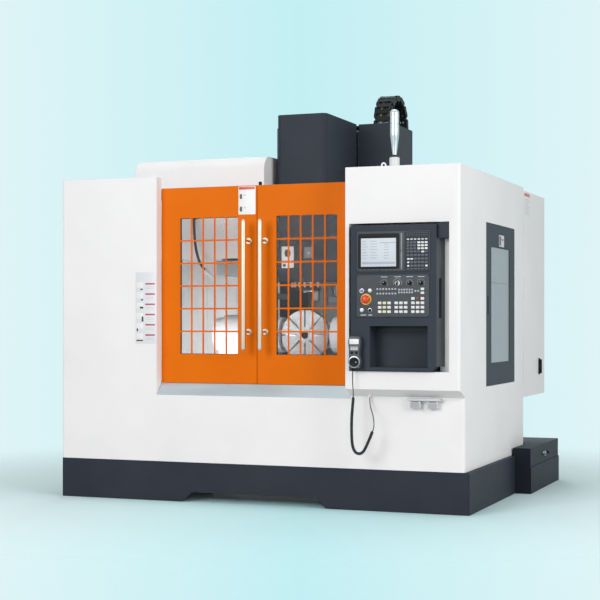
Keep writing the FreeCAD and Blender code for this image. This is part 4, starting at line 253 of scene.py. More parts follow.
def rectangle(u0, u1, v0, v1, radius=0.0, steps=4):
    """A rounded rectangle, counter-clockwise: a quarter circle at every corner."""
    radius = max(min(radius, 0.49 * (u1 - u0), 0.49 * (v1 - v0)), 0.01)
    turn = np.linspace(0, math.pi / 2, steps)
    centres = np.array([(u1 - radius, v1 - radius), (u0 + radius, v1 - radius),
                        (u0 + radius, v0 + radius), (u1 - radius, v0 + radius)])
    angle = turn[None, :] + np.arange(4)[:, None] * math.pi / 2
    arcs = np.stack([np.cos(angle), np.sin(angle)], -1) * radius + centres[:, None, :]
    return arcs.reshape(-1, 2)


def unit(vectors):
    """Vectors over their length."""
    return vectors / np.linalg.norm(vectors, axis=-1, keepdims=True)


def lifted(outline, height):
    """An outline's points (u, v) with one height for all of them."""
    return np.column_stack([outline, np.full(len(outline), height)])


def beside(path, across):
    """Two directions square to a path at each of its points, and to each other.

    The first is across less its part along the path, the second their cross product.
    """
    along = unit(np.gradient(path, axis=0))
    side = unit(across - along * (along @ across)[:, None])
    return side, np.cross(along, side)


def circle(u, v, radius, count=32):
    """Points round a circle, counter-clockwise."""
    angle = np.arange(count) * 2 * math.pi / count
    return np.stack([u + radius * np.cos(angle), v + radius * np.sin(angle)], -1)


def loft(rings, closed=False):
    """Quads between neighbouring rings, with an end face on the first and the last.

    Ring k and ring k + 1 share the quad (k, j), (k, j + 1), (k + 1, j + 1), (k + 1, j).
    A closed loft joins its last ring to its first instead.
    """
    rings = np.asarray(rings, float)
    count, around = rings.shape[:2]
    ids = np.arange(count * around).reshape(count, around)
    low, high = (ids, np.roll(ids, -1, 0)) if closed else (ids[:-1], ids[1:])
    quads = np.stack([low, np.roll(low, -1, 1), np.roll(high, -1, 1), high], -1)
    faces = quads.reshape(-1, 4).tolist()
    if not closed:
        faces += [ids[0][::-1].tolist(), ids[-1].tolist()]
    return rings.reshape(-1, 3), faces


def slab(outline, stations, axes, level):
    """An outline carried along its height: each station is (inset, height).

    A point moves inwards by the inset along its corner's normal, the left-hand normal
    of the line between its neighbours. level is the height of the foot.
    """
    along = unit(np.roll(outline, -1, 0) - np.roll(outline, 1, 0))
    inward = np.stack([-along[:, 1], along[:, 0]], -1)
    rings = [lifted(outline + inward * inset, level + height) for inset, height in stations]
    return loft(np.array(rings) @ axes)


def turned(profile, axes, centre, level, count=40):
    """A profile of (radius, height) turned about an axis through the centre (u, v)."""
    rings = [lifted(circle(*centre, radius, count), level + height)
             for radius, height in profile]
    return loft(np.array(rings) @ axes)


def soft_stations(height, edge):
    """Stations of a plate whose upper edge is a quarter round of the edge radius."""
    turn = np.linspace(0, math.pi / 2, 4)
    return [(0.0, 0.0)] + [(edge * (1 - math.cos(t)), height - edge + edge * math.sin(t))
                           for t in turn]


def plate(u0, u1, v0, v1, axes, level, height, corner=2.0, edge=1.0, steps=4):
    """A rounded rectangular plate with a soft upper edge."""
    return slab(rectangle(u0, u1, v0, v1, corner, steps), soft_stations(height, edge),
                axes, level)


def sweep(path, outline, across):
    """An outline carried along a path: u lies along across, v square to both."""
    side, rise = beside(path, across)
    return loft(path[:, None, :] + outline[None, :, 0, None] * side[:, None, :]
                + outline[None, :, 1, None] * rise[:, None, :])


def spread(shape, shifts):
    """Copies of a shape at several places, as one shape."""
    points, faces = shape
    shifts = np.asarray(shifts, float)
    every = (points[None] + shifts[:, None]).reshape(-1, 3)
    count = len(points)
    return every, [[i + count * k for i in face] for k in range(len(shifts))
                   for face in faces]


# ---- objects ----------------------------------------------------------------------
def show(name, data, body):
    """Puts a mesh or curve into the scene, on its body if it rides one."""
    piece = bpy.data.objects.new(name, data)
    bpy.context.scene.collection.objects.link(piece)
    if body:
        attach(piece, body)
    return piece


def smooth(mesh, angle=SMOOTH_ANGLE):
    """Smooth faces, with edges over an angle kept sharp."""
    mesh.polygons.foreach_set("use_smooth", np.ones(len(mesh.polygons), bool))
    mesh.set_sharp_from_angle(angle=math.radians(angle))


def build(name, body, parts, stands_for=(), angle=SMOOTH_ANGLE):
    """One object from several shapes, each (shape, material)."""
    points, faces, picks, materials, start = [], [], [], [], 0
    for (shape_points, shape_faces), material in parts:
        if material not in materials:
            materials.append(material)
        points.append(shape_points)
        faces += [[i + start for i in face] for face in shape_faces]
        picks += [materials.index(material)] * len(shape_faces)
        start += len(shape_points)
    mesh = bpy.data.meshes.new(name)
    mesh.from_pydata(place(np.concatenate(points)).tolist(), [], faces)
    for material in materials:
        mesh.materials.append(material)
    mesh.polygons.foreach_set("material_index", np.array(picks, np.int32))
    smooth(mesh, angle)
    piece = show(name, mesh, body)
    if stands_for:
        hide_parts(*stands_for)
    return piece


def dressed(node, material, edge):
    """A node's own faces, merged and smooth, with its sharp edges rounded by edge mm."""
    mesh = bpy.data.meshes.new(node + "_skin")
    work = bmesh.new()
    work.from_mesh(frame["nodes"][node].data)
    bmesh.ops.remove_doubles(work, verts=work.verts, dist=1e-5)
    bmesh.ops.dissolve_limit(work, angle_limit=0.005, verts=work.verts, edges=work.edges)
    work.to_mesh(mesh)
    work.free()
    mesh.materials.clear()
    mesh.materials.append(material)
    mesh.polygons.foreach_set("material_index", np.zeros(len(mesh.polygons), np.int32))
    smooth(mesh)
    piece = show(node + "_skin", mesh, BODY_OF[node])
    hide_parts(node)
    if edge:
        bevel = piece.modifiers.new("rounded_edges", "BEVEL")
        bevel.width = edge / 1000.0
        bevel.segments = 2
        bevel.limit_method = "ANGLE"
        bevel.angle_limit = math.radians(BEVEL_ANGLE)
        bevel.harden_normals = True


# ---- sheets, castings and slides that keep the frame's shape ----------------------
def dress_nodes():
    """Gives the solids whose shape is right their finish and softened edges."""
    table = (
        (("front_enclosure", "left_side_panel", "right_side_panel", "rear_enclosure",
          "magazine_cover", "operator_box", "electrical_cabinet", "cabinet_door"),
         "painted_white", WHITE, 0.9),
        (("door_left", "door_right"), "painted_orange", ORANGE, 0.7),
        (("base_plinth",), "painted_dark", PLINTH, 2.0),
        (("coolant_tank",), "painted_dark", TANK, 2.0),
        (("column_cover", "head_cover", "side_door"), "painted_dark", NAVY, 1.0),
        (("operator_panel",), "painted_dark", PANEL, 3.0),
        (("inner_guards",), "guard_sheet", LINING, 0.8),
        (("door_sill",), "stainless", STAINLESS, 0.8),
        (("door_rails",), "ground_steel", STEEL, 0.8),
        (("linear_guides",), "ground_steel", STEEL, 1.5),
        (("work_table",), "cast", CASTING, 1.5),
        (("bed", "column", "saddle"), "cast", CASTING, 4.0),
        (("magazine_housing",), "cast", CASTING, 3.0),
        (("trunnion_frame", "tilt_cradle"), "cast", CAST_WHITE, 3.0),
        (("spindle_head",), "cast", CAST_DARK, 2.0),
        (("rotary_table", "spindle", "arm_hub", "tool_change_arm"), "ground_steel", TURNED,
         0.8),
        (("magazine_disc",), "grey_plastic", GREY_PLASTIC, 1.0),
        (("door_pane_left", "door_pane_right"), "pane_glass", GLASS, 0.0),
        (("side_door_pane",), "pane_glass", SIDE_GLASS, 0.0),
    )
    for nodes, slot, material, edge in table:
        for node in nodes:
            dressed(node, material, edge)


# ---- doors ------------------------------------------------------------------------
HANDLE_X, HANDLE_Y = 54.0, -15.0
HANDLE_LOW, HANDLE_HIGH = 930.0, 1722.0
STUD_HEIGHTS = (1043.0, 1595.0)
DOOR_FACE = -70.0       # the doors' faces, 70 mm behind the front sheet
PANE_BACK = -86.5       # the backs of their panes' gaskets


def door_handles():
    """Satin tube pulls: a turned bar with domed ends on two flanged studs.

    A dome follows the quarter circle of the bar's radius.
    """
    radius = 14.0
    dome = [(radius * math.sin(t) + 0.2, radius - radius * math.cos(t))
            for t in np.linspace(0, math.pi / 2, 6)]
    length = HANDLE_HIGH - HANDLE_LOW
    bar = dome + [(r, length - h) for r, h in dome[::-1]]
    stud = [(19, 0), (19, 3), (17.5, 4.5), (9, 4.5), (8, 6), (8, 85)]
    for side, name in ((-1, "left"), (1, "right")):
        x = side * HANDLE_X
        parts = [(turned(bar, TOP, (x, HANDLE_Y), HANDLE_LOW, 28), HANDLE_PAINTED_REFLECTION)]
        parts += [(turned(stud, FRONT, (x, z), DOOR_FACE, 24), HANDLE_PAINTED_REFLECTION)
                  for z in STUD_HEIGHTS]
        build("pull_handle_" + name, name + "_door", parts,
              ["door_handle_" + name], 40)


def gasket(name, body, axes, level, u0, u1, v0, v1):
    """A black profile round a pane, 5 mm wide outside its edges and 6 mm high."""
    ring = []
    for grow, height in ((0.0, 0.0), (0.0, 6.0), (-5.0, 6.0), (-5.0, 0.0)):
        ring.append(lifted(rectangle(u0 + grow, u1 - grow, v0 + grow, v1 - grow, 4.0, 3),
                           level + height))
    build(name, body, [(loft(np.array(ring) @ axes, closed=True), GASKET)])


def window_details():
    """The panes' gaskets, the side pane's joint line and the stop on the right door."""
    gasket("window_gasket_left", "left_door", FRONT, PANE_BACK, -513, -130, 908, 1741)
    gasket("window_gasket_right", "right_door", FRONT, PANE_BACK, 130, 513, 908, 1741)
    gasket("window_gasket_side", BODY_OF["side_door"], RIGHT, 1309.0, 627, 1109, 853, 1561)
    line = plate(632, 1104, 1342, 1346, RIGHT, 1311.9, 0.8, 0.5, 0.2)
    build("side_pane_joint", BODY_OF["side_door"], [(line, GREY_PLASTIC)])
    stop = [(10, 0), (10, 17), (8, 22), (0.3, 23)]
    build("door_stop", "right_door",
          [(turned(stop, TOP, (15, 85), 1932.5, 20), BLACK_PLASTIC)])


# ---- operator panel ---------------------------------------------------------------
PANEL_FACE = 120.0      # the housing's face in front of the front sheet
PLATE_FACE = 126.0      # the control plates' face
SEAT = PLATE_FACE + 0.6         # where the switches' moving pieces start
STOP_X, STOP_Z = 763.0, 1234.0
KEY_X, KEY_Z = 738.0, 1283.0
SELECTOR_Z = 1325.0
# each selector: its X, its skirt's radius, its scale's radius and number of marks
SELECTORS = ((872.0, 11.0, 22, 7), (952.0, 15.0, 26, 12), (1025.0, 11.0, 20, 7),
             (1092.0, 11.0, 22, 7))


def key_grid(left, top, columns, rows, pitch_x, pitch_z, wide, tall, skip=()):
    """Soft-edged keycaps in columns and rows, counted down from the top left."""
    cap = plate(left, left + wide, top - tall, top, FRONT, PLATE_FACE - 0.5, 5.0, 2.2, 1.6, 3)
    shifts = [(column * pitch_x, 0, -row * pitch_z) for column in range(columns)
              for row in range(rows) if (column, row) not in skip]
    return spread(cap, shifts)


def screw_heads(places, axes, level, radius):
    """Blacked socket screws at (u, v): a chamfered head with a sunk round recess."""
    head = [(radius, 0), (radius, 1.8), (radius * 0.85, 2.6), (radius * 0.5, 2.6),
            (radius * 0.46, 1.0), (0.2, 0.9)]
    one = turned(head, axes, (0, 0), level, 14)
    shifts = np.column_stack([np.asarray(places, float), np.zeros(len(places))]) @ axes
    return spread(one, shifts), BLACKED


def corner_screws(u0, u1, v0, v1):
    """A control plate's four screws."""
    return screw_heads([(u, v) for v in (v0, v1) for u in (u0, u1)], FRONT, PLATE_FACE, 3.0)


def print_mark(u0, u1, v0, v1, material):
    """A printed field on a control plate."""
    return plate(u0, u1, v0, v1, FRONT, PLATE_FACE, 0.5, 1, 0.2, 2), material


def display_unit():
    """Display plate: sunk screen in a bezel, soft keys under it and a keypad beside it.

    The bezel is the screen's rectangle in six rings, each (growth, height).
    """
    parts = [(plate(706, 1143, 1392, 1623, FRONT, PANEL_FACE - 0.5, 6.5, 5, 2.0), FASCIA),
             (plate(994, 1139, 1396, 1619, FRONT, PLATE_FACE - 0.5, 1.3, 3, 0.6), PANEL)]
    rim = []
    for grow, height in ((17.0, 0.0), (17.0, 2.0), (15.5, 4.0), (3.0, 4.6), (0.0, 3.0),
                         (0.0, -2.0)):
        rim.append(lifted(rectangle(732 - grow, 945 + grow, 1420 - grow * 0.7,
                                    1585 + grow * 1.5, 3 + grow / 2), PLATE_FACE + height))
    parts.append((loft(np.array(rim) @ FRONT), BLACK_PLASTIC))
    parts.append((plate(733, 944, 1421, 1584, FRONT, PLATE_FACE - 2.0, 5.2, 2, 0.4), SCREEN))
    parts += [(plate(971, 980, low, high, FRONT, PLATE_FACE, 1.0, 1, 0.4), GREY_PLASTIC)
              for low, high in ((1404, 1506), (1512, 1612))]
    glass = PLATE_FACE + 3.0
    bars = ((846, 940, 1555, 1560), (740, 938, 1436, 1448))
    parts += [(plate(*bar, FRONT, glass, 0.4, 0.5, 0.1), SCREEN_BAR) for bar in bars]
    rows = []
    for row in range(7):
        z = 1566 - row * 16
        rows += [(742, 764 + 5 * (row % 3), z, z + 2.4), (790, 828 + 6 * (row % 2), z, z + 2.4)]
        rows += [(872, 900, z - 18, z - 15.6)] * (row < 6)
    parts += [(plate(*mark, FRONT, glass, 0.3, 0.5, 0.1, 2), SCREEN_MARK) for mark in rows]
    # left, top, columns, rows, pitch across and down, key's width and height
    dark = ((1006, 1612, 9, 2, 14.2, 11, 10, 6), (1007, 1562, 3, 3, 20, 17, 17, 13),
            (1007, 1510, 4, 1, 21, 16, 18, 12), (1115, 1510, 1, 1, 21, 16, 18, 12),
            (1007, 1490, 6, 1, 21.6, 18, 18, 13),
            (1030, 1470, 5, 3, 21, 20, 18, 14, ((0, 0), (4, 2))),
            (1007, 1410, 6, 1, 21.5, 18, 18, 9), (722, 1406, 9, 1, 26, 10, 18, 7))
    light = ((1008, 1578, 6, 1, 21.5, 10, 14, 7), (1071, 1561, 3, 3, 21.5, 17, 17, 11),
             (1094, 1508, 1, 1, 22, 16, 17, 10), (1010, 1467, 2, 1, 20, 16, 15, 9),
             (1011, 1448, 1, 2, 21, 20, 12, 10), (1117, 1428, 1, 1, 21, 16, 14, 10))
    parts += [(key_grid(*keys), DARK_ABS) for keys in dark]
    parts += [(key_grid(*keys), LIGHT_KEY) for keys in light]
    parts.append(corner_screws(712, 1137, 1398, 1617))
    build("display_and_keypad", "machine_frame", parts,
          ["display_unit", "display_screen"])


def push_button(x, z, material):
    """A round push button: chrome bezel and a slightly domed cap."""
    bezel = [(12.5, 0), (12.5, 2), (11.5, 3.2), (9.6, 3.4), (9.4, 1.0)]
    cap = [(9, 0), (9, 6.4), (8, 7.5), (5.4, 8), (0.3, 8)]
    return [(turned(bezel, FRONT, (x, z), PLATE_FACE, 28), CHROME),
            (turned(cap, FRONT, (x, z), PLATE_FACE, 28), material)]


def machine_panel():
    """Control plate: legends, indicators, key blocks, push buttons, stop collar."""
    parts = [(plate(706, 1139, 1132, 1374, FRONT, PANEL_FACE - 0.5, 6.5, 5, 2.0), FASCIA)]
    pitch, key = (28, 25), (20.5, 15.5)
    for left in (836, 935, 1034):
        for column in range(3):
            material = CREAM if (left, column) == (836, 1) else LIGHT_KEY
            parts.append((key_grid(left + pitch[0] * column, 1220, 1, 3, *pitch, *key),
                          material))
    parts.append((key_grid(1034, 1245, 3, 1, *pitch, *key, ((1, 0),)), LIGHT_KEY))
    parts.append((key_grid(1062, 1245, 1, 1, *pitch, *key), WINE))
    parts.append((key_grid(1090, 1298, 1, 2, 28, 22, 20.5, 14), LIGHT_KEY))
    for x, z, material in ((787, 1283, LIGHT_KEY), (738, 1171, LIGHT_KEY),
                           (787, 1171, BLACK_PLASTIC)):
        parts += push_button(x, z, material)
    collar = [(33, 0), (33, 1.6), (32, 2.8), (27, 3.0), (13, 3.0), (12.5, 1.0)]
    parts.append((turned(collar, FRONT, (STOP_X, STOP_Z), PLATE_FACE, 40), YELLOW))
    ring = [(14, 0), (14, 2.5), (13, 3.5), (10.8, 3.5), (10.6, 1.0)]
    parts.append((turned(ring, FRONT, (KEY_X, KEY_Z), PLATE_FACE, 32), CHROME))
    dot = plate(-1.6, 1.6, -1.6, 1.6, FRONT, PLATE_FACE, 0.5, 0.8, 0.2, 2)
    for x, _, reach, count in SELECTORS:
        angle = np.linspace(-0.25, math.pi + 0.25, count)
        places = np.column_stack([x + reach * np.cos(angle), np.zeros(count),
                                  SELECTOR_Z + reach * np.sin(angle)])
        parts.append((spread(dot, places), FILM_GREY))
        parts.append(print_mark(x - 20, x + 20, 1360, 1363, FILM_GREY))
    indicator = plate(0, 11, 0, 10, FRONT, PLATE_FACE, 1.2, 2, 0.5, 2)
    places = [(826 + 18 * k, 0, z) for z in (1287, 1261) for k in range(7)]
    places += [(956 + 15.5 * k, 0, z) for z in (1283, 1267) for k in range(6)]
    places += [(1053 + 17 * k, 0, 1275) for k in range(2)]
    parts.append((spread(indicator, places), PALE))
    parts.append(print_mark(730, 764, 1141, 1146, FILM_GREY))
    parts.append(print_mark(776, 800, 1141, 1146, FILM_GREY))
    parts.append(corner_screws(712, 1133, 1138, 1368))
    build("control_plate", "machine_frame", parts, ["machine_panel"])


def selectors():
    """Rotary switches: waisted skirt and bar grip with a white line; the second is pale."""
    for number, (x, radius, *_) in enumerate(SELECTORS, 1):
        node, z = f"selector_{number}", SELECTOR_Z
        skirt = [(radius, 0), (radius, 3), (radius * 0.86, 5), (radius * 0.8, 9),
                 (radius * 0.7, 10), (0.3, 10)]
        grip = plate(x - radius * 0.35, x + radius * 0.35, z - radius * 0.9, z + radius * 0.9,
                     FRONT, SEAT + 6, 12, radius * 0.3, 2.0)
        line = plate(x - 0.9, x + 0.9, z + radius * 0.1, z + radius * 0.8, FRONT, SEAT + 17.8,
                     0.5, 0.5, 0.2, 2)
        parts = [(turned(skirt, FRONT, (x, z), SEAT, 32),
                  LIGHT_KEY if number == 2 else BLACK_PLASTIC),
                 (grip, BLACK_PLASTIC), (line, FILM_WHITE)]
        build(f"selector_knob_{number}", BODY_OF[node], parts, [node])


def switch_key():
    """A key with a round bow, standing in its chromed barrel."""
    barrel = turned([(10, 0), (10, 5.5), (9, 7), (3.5, 7), (3.2, 5), (0.3, 5)], FRONT,
                    (KEY_X, KEY_Z), SEAT, 32)
    blade = plate(SEAT + 5, SEAT + 17, KEY_Z - 3, KEY_Z + 3, LEFT, -KEY_X - 1.2, 2.4, 0.5,
                  0.3)
    bow = turned([(3, 0), (7.5, 0), (8, 0.6), (8, 2.0), (7.5, 2.6), (3, 2.6)], LEFT,
                 (SEAT + 19, KEY_Z), -KEY_X - 1.3, 24)
    build("switch_key", BODY_OF["key_switch"],
          [(shape, CHROME) for shape in (barrel, blade, bow)], ["key_switch"])


def stop_button():
    """The emergency stop: a domed mushroom head with a moulded rim and a short stem.

    Pressed by 5 mm, its rim still stands 1.6 mm clear of the 3 mm collar.
    """
    face = PLATE_FACE + 3.0 + 5.0 + 1.6
    dome = [(8, -2), (8, 0), (23.2, 0), (24, 1.0), (24, 8), (22.8, 9.6), (21.4, 10.4),
            (20.4, 13), (17.5, 16.2), (12.5, 18.2), (6, 19), (0.3, 19)]
    build("stop_mushroom", BODY_OF["e_stop_button"],
          [(turned(dome, FRONT, (STOP_X, STOP_Z), face, 44), RED)], ["e_stop_button"], 50)


def niche_painted_shadow_and_mat():
    """A black band of painted shade at the top and a floor mat inside the housing's niche."""
    # painted shadow: a black rubber strip where the niche's ceiling shades its back wall
    painted_shadow_band = plate(786, 1126, 1052, 1078, FRONT, 3.0, 1.2, 1, 0.4)
    mat = plate(788, 1124, -116, -6, TOP, 842.2, 2.0, 4, 0.8)
    build("niche_painted_shadow_and_mat", "machine_frame", [(painted_shadow_band, GASKET), (mat, PANEL)])


def recess_trim():
    """White closing strip right of the housing, pivot block over it and sloping side piece.

    The side piece is a triangle in plan, carried upwards. Its slope runs back from near to
    far, and the dark grip slot lies on it, in axes along, up and square to the slope. The
    side piece's grey is paler than the housing's coat: painted light against the recess's
    shade. The slot is a black strip painted as the shade inside the grip's opening.
    """
    strip = plate(1178.2, 1248.8, 820, 1580, FRONT, 26.5, 3.0, 1, 0.5)
    block = plate(1179.5, 1246, 1580, 1669, FRONT, -36.5, 132, 4, 2.5)
    near, far = np.array([1176.8, -118.5]), np.array([1205.0, -29.6])
    # painted light: the side piece takes a paler grey than the housing, to offset the recess's
    # shade
    painted_light_wedge = slab(np.array([near, far, (near[0], far[1])]), soft_stations(730, 1.0), TOP, 850)
    along = unit(far - near)
    slope = np.array([(*along, 0), (0, 0, 1), (along[1], -along[0], 0)])
    start, face = slope[[0, 2], :2] @ near
    # painted shade: a thin black strip stands for the dark inside of the grip slot
    slot = plate(start + 32, start + 58, 1124, 1352, slope, face - 0.4, 0.9, 3, 0.3)
    build("recess_strip_and_pivot", "machine_frame",
          [(strip, WHITE), (block, PANEL), (painted_light_wedge, DARK_ABS), (slot, BLACK_PLASTIC)])


# ---- hand-wheel pendant -----------------------------------------------------------
PENDANT_X, WHEEL_Z = 704.0, 873.0
PENDANT_BACK, PENDANT_FRONT = 132.0, 166.0     # in front of the front sheet
LEAD_R = 0.003          # the pendant cord's radius, m
CORD_Y = -139.0         # the plane that it hangs in


def pendant_outline():
    """The case's waisted outline from its half width at seven heights.

    Between two of them the half width goes over as 3 s^2 - 2 s^3 of the share s.
    """
    heights = np.array([838, 846, 873, 918, 988, 1010, 1022], float)
    halves = np.array([23, 31, 38, 31, 38, 35, 28], float)
    z = np.linspace(heights[0], heights[-1], 30)
    upper = np.searchsorted(heights, z, "right").clip(1, len(heights) - 1)
    lower = upper - 1
    share = (z - heights[lower]) / (heights[upper] - heights[lower])
    eased = share * share * (3 - 2 * share)
    half = halves[lower] + (halves[upper] - halves[lower]) * eased
    right = np.column_stack([PENDANT_X + half, z])
    left = np.column_stack([PENDANT_X - half[::-1], z[::-1]])
    return np.concatenate([right, left])


def pendant():
    """The moulded case with a joint line, keypad, label, two dials, scale and cord spout."""
    x, face, thick = PENDANT_X, PENDANT_FRONT, PENDANT_FRONT - PENDANT_BACK
    case = slab(pendant_outline(), [(3.0, 0), (0.8, 2.0), (0, 5), (0, thick / 2 - 1),
                                    (0.7, thick / 2), (0, thick / 2 + 1), (0, thick - 6),
                                    (1.2, thick - 2.6), (3.4, thick - 0.6), (5.5, thick)],
                FRONT, PENDANT_BACK)
    pad = plate(x - 26, x + 26, WHEEL_Z + 66, 966, FRONT, face - 0.5, 1.5, 3, 0.6)
    field = plate(x - 28, x + 28, 976, 1006, FRONT, face - 0.5, 2.0, 2, 0.4)
    key = plate(0, 9, 0, 6, FRONT, face + 0.8, 1.2, 1.5, 0.8, 2)
    places = [(x - 21 + 11 * column, 0, WHEEL_Z + 70 + 8 * row)
              for column in range(4) for row in range(2)]
    parts = [(case, DARK_ABS), (pad, GREY_PLASTIC), (field, FILM_WHITE),
             (spread(key, places), LIGHT_KEY)]
    dial = [(8, 0), (8, 1.5), (6.6, 2.2), (6.2, 8), (5.6, 9), (0.3, 9)]
    parts += [(turned(dial, FRONT, (x + shift, WHEEL_Z + 54), face - 0.5, 20), BLACK_PLASTIC)
              for shift in (-14, 14)]
    scale = [(34, 0), (34, 0.8), (33, 1.0), (28, 1.0), (27.5, 0)]
    parts.append((turned(scale, FRONT, (x, WHEEL_Z), face - 0.5, 44), CHROME))
    spout = [(LEAD_R * 1000 + 0.4, 0), (5.4, 0), (6.0, 2), (6.2, 6), (5.0, 8), (6.6, 10),
             (5.4, 12), (7.0, 14), (7.0, 17)]
    parts.append((turned(spout, TOP, (x - 18, CORD_Y), 823.0, 20), BLACK_PLASTIC))
    build("pendant_case", "machine_frame", parts, ["mpg_pendant"], 40)


def hand_wheel():
    """The fluted hand wheel with its dished face and crank knob.

    Its rings are (radius, height). On the rim every third of 72 points lies 1.8 % further
    in.
    """
    face, count = PENDANT_FRONT + 0.6, 72
    flute = 1 - 0.018 * (np.arange(count) % 3 == 0)
    rings = []
    for radius, height in ((26, 0), (27, 0.8), (27, 8.6), (26, 10.2), (23, 11), (20, 9.6),
                           (9, 9.2), (8, 10.4), (0.3, 10.6)):
        ring = circle(0, 0, radius, count) * (flute[:, None] if radius > 25 else 1.0)
        rings.append(lifted(ring + (PENDANT_X, WHEEL_Z), face + height))
    knob = [(4.5, 0), (4.5, 1), (3.6, 3), (4.4, 6), (4.2, 8.4), (2.6, 9.4), (0.2, 9.4)]
    parts = [(loft(np.array(rings) @ FRONT), BLACK_PLASTIC),
             (turned(knob, FRONT, (PENDANT_X + 17, WHEEL_Z), face + 9.0, 20), CHROME)]
    build("hand_wheel", BODY_OF["mpg_wheel"], parts, ["mpg_wheel"])


# ---- cords ------------------------------------------------------------------------
# the cords' routes in the drawing's millimetres, the same as in the part's source
COIL_R, COIL_PITCH = 0.0064, 0.0058     # of the curls' middle line, m
HOSE_R = 0.009                          # m
COIL_ROUTE = [(690, CORD_Y, 659), (680, CORD_Y, 560), (679, CORD_Y, 455),
              (684, CORD_Y + 1, 385), (704, CORD_Y + 3, 345), (742, CORD_Y + 8, 345),
              (767, CORD_Y + 13, 392), (799, CORD_Y + 20, 471)]
UPPER_LEAD = [(686, CORD_Y, 824), (685, CORD_Y, 784), (686, CORD_Y, 744),
              (690, CORD_Y, 700)]
LOWER_LEAD = [(807, CORD_Y + 24, 497), (806, CORD_Y + 30, 532), (793, CORD_Y + 46, 570),
              (770, CORD_Y + 80, 602), (750, -20, 636), (750, -20, 664)]
HOSE_ROUTE = [(-701, 660, 1800), (-702, 660, 1700), (-688, 660, 1572), (-652, 660, 1470),
              (-606, 660, 1431)]


def spline_curve(name, points, radius=0.0, resolution=8, sides=4):
    """An open NURBS curve of order 3 through its end points."""
    curve = bpy.data.curves.new(name, "CURVE")
    curve.dimensions = "3D"
    curve.bevel_depth = radius
    curve.bevel_resolution = sides
    curve.use_fill_caps = True
    line = curve.splines.new("NURBS")
    line.points.add(len(points) - 1)
    values = np.column_stack([points, np.ones(len(points))])
    line.points.foreach_set("co", values.ravel())
    line.order_u = 3
    line.use_endpoint_u = True
    line.resolution_u = resolution
    return curve


def read_line(points, resolution=24):
    """The points that Blender gives for the spline over a route, in order."""
    curve = spline_curve("route", points, resolution=resolution)
    holder = bpy.data.objects.new("route", curve)
    mesh = bpy.data.meshes.new_from_object(holder)
    line = np.empty(len(mesh.vertices) * 3)
    mesh.vertices.foreach_get("co", line)
    bpy.data.meshes.remove(mesh)
    bpy.data.objects.remove(holder)
    bpy.data.curves.remove(curve)
    return line.reshape(-1, 3)


def arc_length(line):
    """Distance along a line of points, from 0."""
    return np.concatenate([[0.0], np.cumsum(np.linalg.norm(np.diff(line, axis=0), axis=1))])


def helix(line, radius, pitch, per_turn):
    """A helix about a line: out from the line by the radius, one turn per pitch.

    Over the first and last turn the radius grows from nothing as 3 w^2 - 2 w^3 of the
    turn's share w, and the pitch shrinks from four times its length, so no bend is sharp.
    Those two turns take the length of five, so the helix has three turns fewer.
    """
    run = arc_length(line)
    count = (round(run[-1] / pitch) - 3) * per_turn + 1
    step = np.arange(count)
    share = np.clip(np.minimum(step, step[::-1]) / per_turn, 0, 1)
    at = np.cumsum(4.0 - 3.0 * share)
    at = (at - at[0]) / (at[-1] - at[0]) * run[-1]
    centre = np.column_stack([np.interp(at, run, line[:, k]) for k in range(3)])
    side, rise = beside(centre, (0, 1, 0))
    angle = 2 * math.pi * step / per_turn
    reach = radius * share ** 2 * (3 - 2 * share)
    return centre + reach[:, None] * (np.cos(angle)[:, None] * side
                                      + np.sin(angle)[:, None] * rise)


def show_cord(name, points, radius, resolution, sides, material, *nodes):
    """A cord's round tube over its points, in place of its nodes."""
    curve = spline_curve(name, points, radius, resolution, sides)
    curve.materials.append(material)
    piece = show(name, curve, "machine_frame")
    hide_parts(*nodes)
    return piece


def pendant_cord():
    """One cord from the gland through the curly stretch to the pendant's spout.

    The curls start and end halfway along the runs that join them to the leads.
    """
    top = np.mean([UPPER_LEAD[-1], COIL_ROUTE[0]], axis=0)
    foot = np.mean([COIL_ROUTE[-1], LOWER_LEAD[0]], axis=0)
    coil = helix(read_line(place([top, *COIL_ROUTE, foot])), COIL_R, COIL_PITCH, 12)
    points = np.concatenate([place(UPPER_LEAD), coil, place(LOWER_LEAD)])[::-1]
    length = arc_length(read_line(points, 4))[-1]
    piece = show_cord("pendant_cord", points, LEAD_R, 3, 2, JACKET, "mpg_coil",
                      "mpg_lead_upper", "mpg_lead_lower")


def wash_hose():
    """The black wash hose with its nozzle, its union and the stay that holds it."""
    points = place(HOSE_ROUTE)
    length = arc_length(read_line(points))[-1]
    piece = show_cord("wash_hose_line", points, HOSE_R, 12, 5, GASKET, "wash_hose")
    end, before = np.array(HOSE_ROUTE[-1], float), np.array(HOSE_ROUTE[-2], float)
    along = unit(end - before)
    side = np.array([0.0, 1.0, 0.0])
    axes = np.array([side, np.cross(along, side), along])
    tip = [(9.2, -18), (12, -18), (12, -6), (14, -4), (14, 8), (12.5, 10), (12.5, 16),
           (9.5, 22), (8, 48), (7, 56), (5, 56), (4.8, 40)]
    nozzle = build("wash_nozzle", "machine_frame",
                   [(turned(tip, axes, axes[:2] @ end, axes[2] @ end, 24), LIGHT_PLASTIC)])
    union = [(9.2, -22), (12, -22), (14, -20), (14, -8), (12, -6), (12, 2), (10, 4), (0.3, 4)]
    stay = plate(-713, -689, 1784, 1800, FRONT, -700.0, 40.0, 3, 1.0)
    build("wash_hose_union", "machine_frame",
          [(turned(union, TOP, (-701, 660), 1800.0, 24), BLACKED), (stay, STEEL)])


